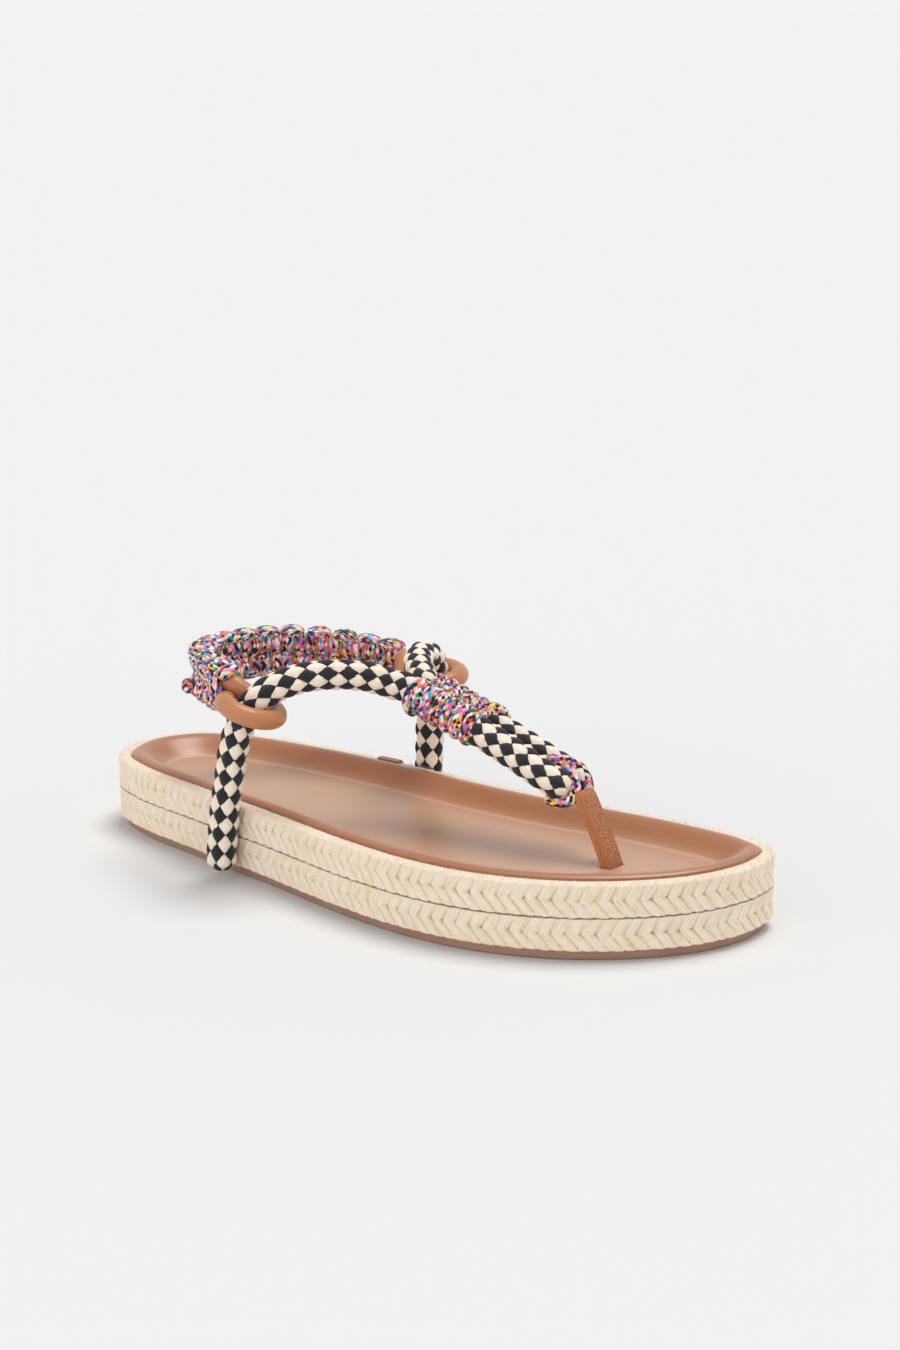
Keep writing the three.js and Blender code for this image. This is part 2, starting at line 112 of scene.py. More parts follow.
FLOOR_SIZE = 400.0
FLOOR_DROP = 0.0002
FLOOR_TONE = (0.765, 0.765, 0.765, 1)
FLOOR_SEEN = 0.885
SKY_LOW = 1.14
SKY_HIGH = 0.2
bpy.ops.mesh.primitive_plane_add(size=FLOOR_SIZE, location=(0, 0, -FLOOR_DROP))
floor = bpy.context.object
floor.name = "floor"
floor_finish, _, floor_shader = new_material("pale_floor", 1.0, Specular_IOR_Level=0.0)
floor_shader.inputs["Base Color"].default_value = FLOOR_TONE
floor.data.materials.append(floor_finish)

# A white studio all round, brightest near the floor. The camera sees it as bright as the floor.
world = bpy.data.worlds.new("studio")
bpy.context.scene.world = world
world.use_nodes = True
sky = world.node_tree
sky_way = add_node(sky, "ShaderNodeTexCoord").outputs["Generated"]
sky_up = add_node(sky, "ShaderNodeSeparateXYZ", {"Vector": sky_way}).outputs["Z"]
sky_light = add_node(sky, "ShaderNodeMapRange", {"Value": sky_up, "To Min": SKY_LOW, "To Max": SKY_HIGH})
sky_ray = add_node(sky, "ShaderNodeLightPath").outputs["Is Camera Ray"]
sky_seen = add_node(sky, "ShaderNodeMix", {"Factor": sky_ray, 2: sky_light.outputs[0], 3: FLOOR_SEEN})
sky.links.new(sky_seen.outputs[0], sky.nodes["Background"].inputs["Strength"])
sky.nodes["Background"].inputs["Color"].default_value = (1, 1, 1, 1)


def soft_sun(name, lift, round_from, wide, strength):
    """A far lamp, given in degrees: up from the floor, round from the outer side, and its width."""
    light = bpy.data.lights.new(name, "SUN")
    light.angle = math.radians(wide)
    light.energy = strength
    lamp = bpy.data.objects.new(name, light)
    bpy.context.scene.collection.objects.link(lamp)
    lamp.rotation_euler = (math.radians(90 - lift), 0, math.radians(round_from))


soft_sun("top_light", 74, 165, 30, 1.8)
soft_sun("front_light", 30, -5, 70, 0.55)


# Outsole
# A thin flat plate of brown rubber glued under the jute and set in a little from its edge. It is
# cut to the outline of the sole, and its lower edge is rounded off.
SOLE_LENGTH = 262.0
SOLE_WIDTH = 92.4
OUTSOLE_THICKNESS = 3.1
SOLE_SIDES = 360
TOE_TIP_ACROSS = 0.147
# Rings deeper in than this are smoothed, by so many passes for each further millimetre
SMOOTH_BEYOND = 8
SMOOTH_PASSES = 6
# Half widths over the jute as shares of the width, at shares of the length
OUTLINE = (
    (0.03, 0.224, 0.213), (0.10, 0.326, 0.327), (0.22, 0.399, 0.380), (0.38, 0.483, 0.389),
    (0.54, 0.579, 0.368), (0.66, 0.615, 0.375), (0.76, 0.583, 0.404), (0.86, 0.465, 0.411),
    (0.94, 0.270, 0.387), (0.985, 0.065, 0.319),
)


def curve_through(points, closed=False, fine=24):
    """Close points along a smooth curve that passes through the given ones."""
    p = np.asarray(points, float)
    if closed:
        chain, spans = np.vstack([p[-1:], p, p[:2]]), len(p)
    else:
        chain, spans = np.vstack([2 * p[:1] - p[1:2], p, 2 * p[-1:] - p[-2:-1]]), len(p) - 1
    t = np.linspace(0, 1, fine, endpoint=False)[:, None]
    made = []
    for k in range(spans):
        a, b, c, d = chain[k:k + 4]
        ab, bc, cd = (max(np.linalg.norm(q - r) ** 0.5, 1e-4) for q, r in ((a, b), (b, c), (c, d)))
        leave = ((b - a) / ab - (c - a) / (ab + bc) + (c - b) / bc) * bc
        reach = ((c - b) / bc - (d - b) / (bc + cd) + (d - c) / cd) * bc
        made.append(b + leave * t + (3 * (c - b) - 2 * leave - reach) * t ** 2
                    + (2 * (b - c) + leave + reach) * t ** 3)
    if not closed:
        made.append(p[-1:])
    return np.vstack(made)


def even_points(points, step, closed=False, count=None):
    """Points at even steps along the smooth curve, and the curve's length."""
    dense = curve_through(points, closed)
    if closed:
        dense = np.vstack([dense, dense[:1]])
    run = np.concatenate([[0], np.cumsum(np.linalg.norm(np.diff(dense, axis=0), axis=1))])
    count = count or max(2, round(run[-1] / step))
    at = np.linspace(0, run[-1], count + 1)
    made = np.stack([np.interp(at, run, dense[:, k]) for k in range(3)], 1)
    return (made[:-1] if closed else made), run[-1]


def sole_line(count):
    """Even points round the outline of the sole, and the way out from it at each."""
    medial = [(along, medial, 0) for along, _, medial in OUTLINE]
    lateral = [(along, -lateral, 0) for along, lateral, _ in OUTLINE][::-1]
    shares = np.array([(0, 0, 0), *medial, (1, TOE_TIP_ACROSS, 0), *lateral])
    line, length = even_points(shares * (SOLE_LENGTH, SOLE_WIDTH, 1), 1, True, count)
    ahead = np.roll(line, -1, 0) - np.roll(line, 1, 0)
    out = np.stack([-ahead[:, 1], ahead[:, 0], 0 * ahead[:, 0]], 1)
    return line, out / np.linalg.norm(out, axis=1)[:, None], length


SOLE_POINTS, SOLE_OUT, SOLE_ROUND = sole_line(SOLE_SIDES)


def sole_ring(inset, height):
    """The outline drawn in, and smoothed where it lies so deep that it would cross itself."""
    ring = SOLE_POINTS - inset * SOLE_OUT
    for _ in range(max(0, round(SMOOTH_PASSES * (inset - SMOOTH_BEYOND)))):
        ring = (np.roll(ring, 1, 0) + 2 * ring + np.roll(ring, -1, 0)) / 4
    ring[:, 2] = height
    return ring


def raise_rings(name, rings):
    """A round plate, drawn up by one extrusion after another, each laid on the next ring."""
    bpy.ops.mesh.primitive_circle_add(vertices=len(rings[0]), radius=1, fill_type="NGON")
    made = bpy.context.object
    made.name = name
    made.data.vertices.foreach_set("co", in_row(rings[0]).ravel())
    for before, after in zip(rings, rings[1:]):
        bpy.ops.object.mode_set(mode="EDIT")
        bpy.ops.mesh.extrude_region_move()
        bpy.ops.object.mode_set(mode="OBJECT")
        start, goal = in_row(before), in_row(after)
        for vertex in made.data.vertices:
            if vertex.select:
                nearest = np.argmin(np.abs(start - np.array(vertex.co)).sum(1))
                vertex.co = goal[nearest]
    bpy.ops.object.mode_set(mode="EDIT")
    bpy.ops.mesh.select_all(action="SELECT")
    bpy.ops.mesh.normals_make_consistent(inside=False)
    bpy.ops.object.mode_set(mode="OBJECT")
    made.location = (0, 0, 0)
    return made


def mix_tones(tree, share, low, high):
    """A colour between two others: low where the share is 0, high where it is 1."""
    return add_node(tree, "ShaderNodeMix", {"Factor": share, 6: low, 7: high}, data_type="RGBA").outputs[2]


def finish_surface(tree, shader, colour, height, strength, distance):
    """Gives the shader its colour and a bump, whose distance is in metres."""
    bump = add_node(tree, "ShaderNodeBump", {"Height": height, "Strength": strength, "Distance": distance})
    tree.links.new(colour, shader.inputs["Base Color"])
    tree.links.new(bump.outputs["Normal"], shader.inputs["Normal"])


# How much further in than the inset, and how high
OUTSOLE_PROFILE = (
    (1.0, 0.0), (0.2, 0.12), (0.0, 0.5), (0.0, OUTSOLE_THICKNESS - 0.2), (0.2, OUTSOLE_THICKNESS),
)
outsole = raise_rings("rubber_outsole", [
    sole_ring(OUTSOLE_INSET + inward, height) for inward, height in OUTSOLE_PROFILE])
bpy.ops.object.shade_smooth_by_angle(angle=math.radians(35))
rubber, rubber_tree, rubber_shader = new_material("brown_rubber", 0.62)
rubber_at = add_node(rubber_tree, "ShaderNodeTexCoord").outputs["Object"]
rubber_noise = add_node(rubber_tree, "ShaderNodeTexNoise", {
    "Vector": rubber_at, "Scale": 900.0, "Detail": 4.0})
rubber_cloud = add_node(rubber_tree, "ShaderNodeTexNoise", {"Vector": rubber_at, "Scale": 40.0})
rubber_colour = mix_tones(rubber_tree, rubber_cloud.outputs["Fac"], tone(158, 119, 99), tone(182, 142, 120))
finish_surface(rubber_tree, rubber_shader, rubber_colour, rubber_noise.outputs["Fac"], 0.25, 0.0002)
outsole.data.materials.append(rubber)
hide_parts("outsole")
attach(outsole, "root")


# Plaited jute edge
# Two flat plaits of soft natural jute run round the sole one above the other, their strands
# meeting in a zigzag along the middle of each plait. They are stitched on behind the strands.
CLEARANCE = 0.3
BRAID_HEIGHT = 10.9
BRAID_DEPTH = 4.4
BRAID_BASE = OUTSOLE_THICKNESS + CLEARANCE
BRAID_STEP = 0.44
STRAND_PITCH = 4.6
UPPER_LEAN = math.radians(62)
LOWER_LEAN = math.radians(50)
STRAND_RELIEF = 1.7
STRAND_SIDE = 0.36
STRAND_LEAST = 0.78
STRAND_TUCK = 1.5
STRAND_TIP = 0.9
TIP_STRAY = 0.45
TIP_ROUND = 0.9
STRAND_WANDER = 0.11
LOWER_SHIFT = 0.1
TOP_FLATTER = 0.35
EDGE_FLATTER = 1.2
FIBRE_RATE = 5.3
FIBRE_SLANT = 0.15
FIBRE_RIDGE = 0.07
FIBRE_ROUGH = 0.12
LOOSE_LENGTH = (0.5, 1.5)
LOOSE_WIDTH = 0.06
# Keeps the pattern of fibres on the lower strands away from that on the upper ones
STRANDS_APART = 900
rng = np.random.default_rng(7)


def add_group(name, inputs, outputs):
    """A shader node group with named sockets, and its two ends."""
    group = bpy.data.node_groups.new(name, "ShaderNodeTree")
    for label, kind, value in inputs:
        socket = group.interface.new_socket(label, in_out="INPUT", socket_type=kind)
        if value is not None:
            socket.default_value = value
    for label, kind in outputs:
        group.interface.new_socket(label, in_out="OUTPUT", socket_type=kind)
    return group, group.nodes.new("NodeGroupInput"), group.nodes.new("NodeGroupOutput")


def use_group(tree, group, inputs):
    """The shared effect placed in a material, with its values for that material."""
    return add_node(tree, "ShaderNodeGroup", inputs, node_tree=group)


# Fine parallel fibres: noise drawn out along the second direction of the given vector
fibres, fibres_in, fibres_out = add_group("fibres", [
    ("Vector", "NodeSocketVector", None), ("Across", "NodeSocketFloat", 60.0),
    ("Along", "NodeSocketFloat", 4.0),
], [("Height", "NodeSocketFloat"), ("Shade", "NodeSocketFloat")])
fibre_scale = add_node(fibres, "ShaderNodeCombineXYZ", {
    "X": fibres_in.outputs["Across"], "Y": fibres_in.outputs["Along"], "Z": 1.0})
fibre_place = add_node(fibres, "ShaderNodeVectorMath", {
    0: fibres_in.outputs["Vector"], 1: fibre_scale.outputs[0]}, operation="MULTIPLY")
fibre_noise = add_node(fibres, "ShaderNodeTexNoise", {
    "Vector": fibre_place.outputs[0], "Scale": 1.0, "Detail": 3.0, "Roughness": 0.6})
fibre_shade = add_node(fibres, "ShaderNodeTexNoise", {
    "Vector": fibre_place.outputs[0], "Scale": 0.45, "Detail": 3.0, "Roughness": 0.6})
fibres.links.new(fibre_noise.outputs["Fac"], fibres_out.inputs["Height"])
fibres.links.new(fibre_shade.outputs["Fac"], fibres_out.inputs["Shade"])

jute, jute_tree, jute_shader = new_material(
    "natural_jute", 0.9, Sheen_Weight=0.2, Sheen_Roughness=0.6, Specular_IOR_Level=0.15)
jute_uv = add_node(jute_tree, "ShaderNodeTexCoord")
jute_fibres = use_group(jute_tree, fibres, {"Vector": jute_uv.outputs["UV"], "Across": 4.2, "Along": 0.32})
jute_cloud = add_node(jute_tree, "ShaderNodeTexNoise", {
    "Vector": jute_uv.outputs["Object"], "Scale": 120.0, "Detail": 3.0})
jute_pale = mix_tones(jute_tree, jute_cloud.outputs["Fac"], tone(248, 226, 198), tone(255, 243, 227))
jute_dark = add_node(jute_tree, "ShaderNodeMapRange", {
    "Value": jute_fibres.outputs["Shade"], "From Min": 0.36, "From Max": 0.52, "To Min": 0.5, "To Max": 0.0})
jute_colour = mix_tones(jute_tree, jute_dark.outputs[0], jute_pale, tone(226, 190, 146))
# Painted shade: darker brown where a strand lies sunk below its neighbours, in the creases between strands
jute_painted_crease_shade = add_node(jute_tree, "ShaderNodeMapRange", {
    "Value": add_node(jute_tree, "ShaderNodeAttribute", attribute_name="painted_crease_shade").outputs["Fac"],
    "From Min": 0.4, "From Max": 0.9, "To Min": 0.0, "To Max": 0.75})
jute_shaded = mix_tones(jute_tree, jute_painted_crease_shade.outputs[0], jute_colour, tone(178, 136, 78))
finish_surface(jute_tree, jute_shader, jute_shaded, jute_fibres.outputs["Height"], 0.7, 0.0004)


def on_braid(run, level, out, middle):
    """Places points given along the plait, up from its middle line and out from its face."""
    at = (run / SOLE_ROUND * SOLE_SIDES) % SOLE_SIDES
    here = np.floor(at).astype(int) % SOLE_SIDES
    blend = (at - np.floor(at))[..., None]
    ahead = (here + 1) % SOLE_SIDES
    base = SOLE_POINTS[here] * (1 - blend) + SOLE_POINTS[ahead] * blend
    way = SOLE_OUT[here] * (1 - blend) + SOLE_OUT[ahead] * blend
    placed = base + way * out[..., None]
    placed[..., 2] = middle + level
    return placed


def grid_quads(count, around, closed):
    """Faces of a skin over rows of points, each a ring, with the row and column of each face."""
    r0, c0 = np.meshgrid(np.arange(count if closed else count - 1), np.arange(around), indexing="ij")
    r1, c1 = (r0 + 1) % count, (c0 + 1) % around
    quads = np.stack([r0 * around + c0, r0 * around + c1, r1 * around + c1, r1 * around + c0], -1)
    return r0, c0, quads.reshape(-1, 4)


def mesh_piece(name, points, faces, uv, finish):
    """A smooth mesh at its place, with one pair of uv values for each corner of each face."""
    mesh = bpy.data.meshes.new(name)
    mesh.from_pydata(in_row(points).tolist(), [], faces)
    layer = mesh.uv_layers.new(name="UVMap")
    layer.data.foreach_set("uv", np.asarray(uv, float).ravel())
    mesh.materials.append(finish)
    mesh.polygons.foreach_set("use_smooth", [True] * len(mesh.polygons))
    made = bpy.data.objects.new(name, mesh)
    bpy.context.scene.collection.objects.link(made)
    return made


def braid_section(low_corner, high_corner):
    """Half round a plait from behind its foot over its face to behind its top: height and reach
    of each point, the way out there, and how far it lies from the middle of the face."""
    half = (BRAID_HEIGHT + CLEARANCE) / 2
    points, ways = [], []
    for out in (-BRAID_DEPTH, -3.0, -low_corner - 0.3):
        points.append((-half, out))
        ways.append((-1, 0))
    for degrees in (-90, -60, -30, 0):
        up, out = math.sin(math.radians(degrees)), math.cos(math.radians(degrees))
        points.append((-half + low_corner * (1 + up), low_corner * (out - 1)))
        ways.append((up, out))
    for level in np.arange(-half + low_corner + BRAID_STEP, half - high_corner - 0.2, BRAID_STEP):
        points.append((level, 0))
        ways.append((0, 1))
    for degrees in (0, 22, 45, 68, 90):
        up, out = math.sin(math.radians(degrees)), math.cos(math.radians(degrees))
        points.append((half - high_corner * (1 - up), high_corner * (out - 1)))
        ways.append((up, out))
    for out in (-high_corner - 0.5, -3.0, -3.7, -BRAID_DEPTH):
        points.append((half, out))
        ways.append((1, 0))
    points, ways = np.array(points), np.array(ways, float)
    away = np.concatenate([[0], np.cumsum(np.linalg.norm(np.diff(points, axis=0), axis=1))])
    face = slice(6, -8)
    return points, ways, away - np.interp(0, points[face, 0], away[face])


def loose_fibres(roots, ways, length, width):
    """Short fibres that stand off the plait, each a thin three-sided spike with a bend."""
    count = len(roots)
    ways = ways / np.linalg.norm(ways, axis=1)[:, None]
    side = np.cross(ways, rng.normal(size=(count, 3)))
    side /= np.linalg.norm(side, axis=1)[:, None]
    other = np.cross(ways, side)
    bend = rng.uniform(-0.5, 0.5, count)[:, None]
    points = []
    for share, thick in ((-0.1, 1.0), (0.45, 0.8), (0.8, 0.5), (1.0, 0.1)):
        middle = roots + (ways * share + side * bend * share ** 2) * length[:, None]
        for turn in (0, 2.094, 4.189):
            points.append(middle + (side * math.cos(turn) + other * math.sin(turn)) * width * thick)
    points = np.stack(points, 1)
    start = np.arange(count)[:, None, None] * 12
    ring = np.array([[r * 3 + k, r * 3 + (k + 1) % 3, r * 3 + 3 + (k + 1) % 3, r * 3 + 3 + k]
                     for r in range(3) for k in range(3)])
    return points.reshape(-1, 3), (start + ring[None]).reshape(-1, 4)


def braid_row(name, middle, low_corner, high_corner, loose):
    """One plait: its face is raised strand by strand, and each strand tucks under at the middle."""
    section, section_out, away = braid_section(low_corner, high_corner)
    columns = round(SOLE_ROUND / BRAID_STEP)
    count = round(SOLE_ROUND / STRAND_PITCH)
    pitch = SOLE_ROUND / count
    run = np.arange(columns + 1) * SOLE_ROUND / columns
    along, level = np.meshgrid(run, away, indexing="ij")
    wander = rng.uniform(-STRAND_WANDER, STRAND_WANDER, count)
    wander = np.interp(along / pitch, np.arange(count + 1), np.append(wander, wander[0]))
    raised, across, length = [], [], []
    for side, lean in ((1, UPPER_LEAN), (-1, LOWER_LEAN)):
        place = (along + side * level / math.tan(lean)) / pitch + wander + (0.0 if side > 0 else LOWER_SHIFT)
        number = np.floor(place).astype(int)
        x = 2 * (place - number) - 1
        tip = STRAND_TIP + rng.uniform(-TIP_STRAY, TIP_STRAY, count)[number % count]
        past = np.clip((STRAND_TUCK - tip - side * level + TIP_ROUND * x ** 2) / STRAND_TUCK, 0, 1)
        height = rng.uniform(STRAND_LEAST, 1.0, count)[number % count]
        crown = STRAND_SIDE + (1 - STRAND_SIDE) * (1 - np.abs(x) ** 2.6) ** 0.6
        raised.append(height * crown * (1 - past ** 2) ** 0.5)
        across.append(place * pitch * math.sin(lean))
        length.append(level / math.sin(lean) + rng.uniform(0, 60, count)[number % count])
    upper = raised[0] >= raised[1]
    # The strands lie flatter towards the top of the row and along both its edges
    soft = 1 - TOP_FLATTER * np.clip(level / 5 - 0.2, 0, 1)
    soft *= np.clip((BRAID_HEIGHT / 2 - np.abs(level)) / EDGE_FLATTER, 0.5, 1)
    behind = np.clip((BRAID_DEPTH + section[:, 1]) / 0.6, 0, 1)
    relief = STRAND_RELIEF * soft * (1 - np.where(upper, *raised)) * behind
    fine = np.sin(np.where(upper, *across) * FIBRE_RATE + np.where(upper, *length) * FIBRE_SLANT)
    relief += FIBRE_RIDGE * (1 - fine) + rng.uniform(0, FIBRE_ROUGH, relief.shape)
    levels = section[:, 0] - section_out[:, 0] * relief
    outs = section[:, 1] - section_out[:, 1] * relief
    rows = on_braid(along, levels, outs, middle)[:-1]
    rows_flat = rows.reshape(-1, 3)
    r0, c0, quads = grid_quads(columns, len(section), True)
    c1 = (c0 + 1) % len(section)
    pick = upper[:-1]
    uv = []
    for r, c in ((r0, c0), (r0, c1), (r0 + 1, c1), (r0 + 1, c0)):
        uv.append(np.stack([
            np.where(pick, across[0][r, c], across[1][r, c] + STRANDS_APART),
            np.where(pick, length[0][r0, c0], length[1][r0, c0]) + (level[r, c] - level[r0, c0])], -1))
    uv = np.stack(uv, -2).reshape(-1, 2)
    top = np.argmax(section[:, 0] >= section[:, 0].max() - 0.01)
    roots, ways = [], []
    for number, low, high, lift in loose:
        chosen = rng.integers(0, columns, number), rng.integers(top + low, top + high, number)
        roots.append(rows[chosen])
        out = SOLE_OUT[(chosen[0] / columns * SOLE_SIDES).astype(int) % SOLE_SIDES]
        ways.append(out * rng.uniform(-0.2, 0.8, number)[:, None] + (0, 0, lift)
                    + rng.normal(scale=0.55, size=(number, 3)))
    roots, ways = np.vstack(roots), np.vstack(ways)
    spikes, spike_faces = loose_fibres(roots, ways, rng.uniform(*LOOSE_LENGTH, len(roots)), LOOSE_WIDTH)
    spike_uv = np.repeat(rng.uniform(0, 50, (len(spike_faces), 1, 2)), 4, 1).reshape(-1, 2)
    faces = quads.tolist() + (spike_faces + len(rows_flat)).tolist()
    made = mesh_piece(name, np.vstack([rows_flat, spikes]), faces, np.vstack([uv, spike_uv]), jute)
    # How deep each point lies between the raised strands, which the jute paints as shade in the creases
    painted_crease_shade = np.append(np.clip(relief[:-1].ravel() / STRAND_RELIEF, 0, 1), np.zeros(len(spikes)))
    made.data.attributes.new("painted_crease_shade", "FLOAT", "POINT").data.foreach_set("value", painted_crease_shade)
    return made


# Radius of the lower and of the upper corner, then the loose fibres: how many, between which points
# of the section counted from its top, and how far they turn up
BRAID_ROWS = (
    ("jute_braid_lower", 0.9, 0.3, ((900, -18, -4, 0.1),)),
    ("jute_braid_upper", 0.3, 1.3, ((2200, -3, 3, 0.5), (900, -18, -4, 0.1))),
)
for row, (node, low_corner, high_corner, loose) in enumerate(BRAID_ROWS):
    row_middle = BRAID_BASE + BRAID_HEIGHT / 2 + row * (BRAID_HEIGHT + CLEARANCE)
    plait = braid_row("plaited_" + node, row_middle, low_corner, high_corner, loose)
    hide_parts(node)
    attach(plait, "root")


# Footbed
# A padded board covered with smooth tan leather: a soft round rim above the jute, a wall that
# slopes down to the flat bed, and a slot cut through the bed for the toe post.
RIM_HEIGHT = 1.3
RIM_WIDTH = 14.0
BED_DEPTH = 6.2
BRAID_TOP = BRAID_BASE + 2 * BRAID_HEIGHT + CLEARANCE
RIM_TOP = BRAID_TOP + RIM_HEIGHT
BED_HEIGHT = RIM_TOP - BED_DEPTH
WALL = BRAID_DEPTH + CLEARANCE
# Inward as a share of the rim's width, drop as a share of the bed's depth
RIM_PROFILE = (
    (0.00, 0.34), (0.00, 0.22), (0.03, 0.12), (0.08, 0.045), (0.14, 0.01), (0.22, 0.0), (0.30, 0.03),
    (0.40, 0.14), (0.52, 0.34), (0.64, 0.56), (0.75, 0.74), (0.84, 0.87), (0.91, 0.945), (0.96, 0.985),
    (1.0, 1.0), (1.04, 1.0),
)
# Where the fold at the foot of the wall lies, and the painted highlight along it, as a share of the rim's
# width
FOLD_AT = 0.93
# The toe post and its slot
POST_AT = 217.4
POST_ACROSS = -4.6
POST_WIDTH = 7.6
POST_THICKNESS = 3.8
SLOT_PLAY = 0.45
SLOT_DEPTH = 8.0


def slot_ring(height):
    """The outline of the slot, with one point towards each point of the outline of the bed."""
    away = sole_ring(WALL + RIM_WIDTH, height)[:, :2] - (POST_AT, POST_ACROSS)
    reach = np.abs(away) / (POST_THICKNESS / 2 + SLOT_PLAY, POST_WIDTH / 2 + SLOT_PLAY)
    away /= reach.max(axis=1)[:, None]
    return np.column_stack([away + (POST_AT, POST_ACROSS), np.full(len(away), height)])


footbed = raise_rings("leather_footbed", [
    sole_ring(WALL, BRAID_BASE),
    sole_ring(WALL, BRAID_TOP - 2),
    *(sole_ring(WALL + inward * RIM_WIDTH, RIM_TOP - drop * BED_DEPTH) for inward, drop in RIM_PROFILE),
    slot_ring(BED_HEIGHT),
    slot_ring(BED_HEIGHT - SLOT_DEPTH),
])
bpy.ops.object.shade_smooth_by_angle(angle=math.radians(40))
footbed_points = np.array([v.co for v in footbed.data.vertices]) * 1000 - HEEL_TIP
inset = np.array([np.linalg.norm(SOLE_POINTS[:, :2] - p[:2], axis=1).min() for p in footbed_points])
footbed.data.attributes.new("inset", "FLOAT", "POINT").data.foreach_set("value", inset)

# Leather grain: small cells with soft creases between them, and a slow change of tone
grain, grain_in, grain_out = add_group("leather_grain", [
    ("Vector", "NodeSocketVector", None), ("Cells", "NodeSocketFloat", 1400.0),
    ("Clouds", "NodeSocketFloat", 22.0),
], [("Height", "NodeSocketFloat"), ("Cloud", "NodeSocketFloat")])
grain_cells = add_node(grain, "ShaderNodeTexVoronoi", {
    "Vector": grain_in.outputs["Vector"], "Scale": grain_in.outputs["Cells"]}, feature="SMOOTH_F1")
grain_noise = add_node(grain, "ShaderNodeTexNoise", {
    "Vector": grain_in.outputs["Vector"], "Scale": 260.0, "Detail": 5.0, "Roughness": 0.6})
grain_height = add_node(grain, "ShaderNodeMath", {
    0: grain_cells.outputs["Distance"], 1: grain_noise.outputs["Fac"]}, operation="ADD")
grain_cloud = add_node(grain, "ShaderNodeTexNoise", {
    "Vector": grain_in.outputs["Vector"], "Scale": grain_in.outputs["Clouds"], "Detail": 3.0})
grain.links.new(grain_height.outputs[0], grain_out.inputs["Height"])
grain.links.new(grain_cloud.outputs["Fac"], grain_out.inputs["Cloud"])


def leather(name, light, dark, roughness, cells, depth, coat=0.0):
    """Smooth grained leather: the material, its shader, and its colour before any other tone, worn edge or
    painted highlight is mixed in.
    """
    made, tree, shader = new_material(name, roughness, Coat_Weight=coat, Coat_Roughness=0.35)
    places = add_node(tree, "ShaderNodeTexCoord").outputs["Object"]
    skin = use_group(tree, grain, {"Vector": places, "Cells": cells})
    colour = mix_tones(tree, skin.outputs["Cloud"], dark, light)
    finish_surface(tree, shader, colour, skin.outputs["Height"], 0.3, depth)
    rough = add_node(tree, "ShaderNodeMapRange", {
        "Value": skin.outputs["Cloud"], "To Min": roughness - 0.06, "To Max": roughness + 0.06})
    tree.links.new(rough.outputs[0], shader.inputs["Roughness"])
    return made, shader, colour


# The tan leather is paled by a painted sheen on the flat bed and keeps its deeper tan over the rim; it is
# dark at its cut edge
bed_leather, bed_shader, bed_tone_with_sheen = leather(
    "footbed_leather", tone(199, 156, 125), tone(189, 141, 108), 0.42, 1500.0, 0.00006, coat=0.6)
bed_tree = bed_leather.node_tree
bed_inset = add_node(bed_tree, "ShaderNodeAttribute", attribute_name="inset").outputs["Fac"]
bed_at = add_node(bed_tree, "ShaderNodeTexCoord").outputs["Object"]
bed_wear = add_node(bed_tree, "ShaderNodeTexNoise", {"Vector": bed_at, "Scale": 260.0, "Detail": 4.0})
rim_share = add_node(bed_tree, "ShaderNodeMapRange", {
    "Value": bed_inset, "From Min": WALL + RIM_WIDTH * 0.55, "From Max": WALL + RIM_WIDTH * 1.15,
    "To Min": 1.0, "To Max": 0.0}, interpolation_type="SMOOTHSTEP")
rim_colour = mix_tones(bed_tree, rim_share.outputs[0], bed_tone_with_sheen, tone(172, 111, 72))
# A painted highlight runs pale along the fold at the foot of the wall
fold_past = add_node(bed_tree, "ShaderNodeMath", {
    0: bed_inset, 1: -WALL - FOLD_AT * RIM_WIDTH}, operation="ADD")
fold_away = add_node(bed_tree, "ShaderNodeMath", {0: fold_past.outputs[0]}, operation="ABSOLUTE")
fold_highlight_share = add_node(bed_tree, "ShaderNodeMapRange", {
    "Value": fold_away.outputs[0], "From Min": 0.0, "From Max": 1.2, "To Min": 0.38, "To Max": 0.0},
    interpolation_type="SMOOTHSTEP")
fold_highlight_colour = mix_tones(bed_tree, fold_highlight_share.outputs[0], rim_colour, tone(232, 190, 164))
edge_place = add_node(bed_tree, "ShaderNodeMath", {0: bed_inset, 1: bed_wear.outputs["Fac"]}, operation="ADD")
edge_share = add_node(bed_tree, "ShaderNodeMapRange", {
    "Value": edge_place.outputs[0], "From Min": WALL + 0.75, "From Max": WALL + 1.25,
    "To Min": 0.75, "To Max": 0.0})
edge_colour = mix_tones(bed_tree, edge_share.outputs[0], fold_highlight_colour, tone(138, 82, 46))
bed_tree.links.new(edge_colour, bed_shader.inputs["Base Color"])
footbed.data.materials.append(bed_leather)
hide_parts("footbed")
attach(footbed, "root")


# Patch over the joint of the jute
# A small flap of the same leather, folded down over the place on the inner side where the ends
# of both plaits meet, and glued at its top and bottom.
tan_leather = leather("tan_leather", tone(190, 130, 90), tone(172, 110, 72), 0.42, 1500.0, 0.00006)[0]
joint_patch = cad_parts["jute_joint_patch"]
joint_patch.data.materials.clear()
joint_patch.data.materials.append(tan_leather)


# Checkered cords
# Two thick soft cords, each plaited from ten strands of cotton, five cream and five black. Each
# leaves the side of the sole, arches over the instep, and runs beside the other as the thong.
CORD_DIAMETER = 10.0
DIAMOND_LENGTH = 6.9
CORD_COLUMNS = 10
CORD_SIDES = 80
CORD_STEP = 0.45
CORD_PUFF = 1.2
CORD_SEAM = 0.9
CORD_TIP = 0.55
CORD_TAPER = 5
INSTEP_HEIGHT = 73.0
INSTEP_WRAP_AT = 133.0
THONG_ACROSS = -2.0
THONG_ARCH = 1.1
THONG_ROLL_START = 0.75
THONG_ROLL_END = 0.3
THONG_TIP_AT = POST_AT - 16.2
TOE_JOINT_HEIGHT = 43.3
LEG_AT = {-1: 83.4, 1: 104.2}
LEG_FREE_HEIGHT = 28.0
LEG_SHARES = (0.132, 0.32, 0.54, 0.79, 1)
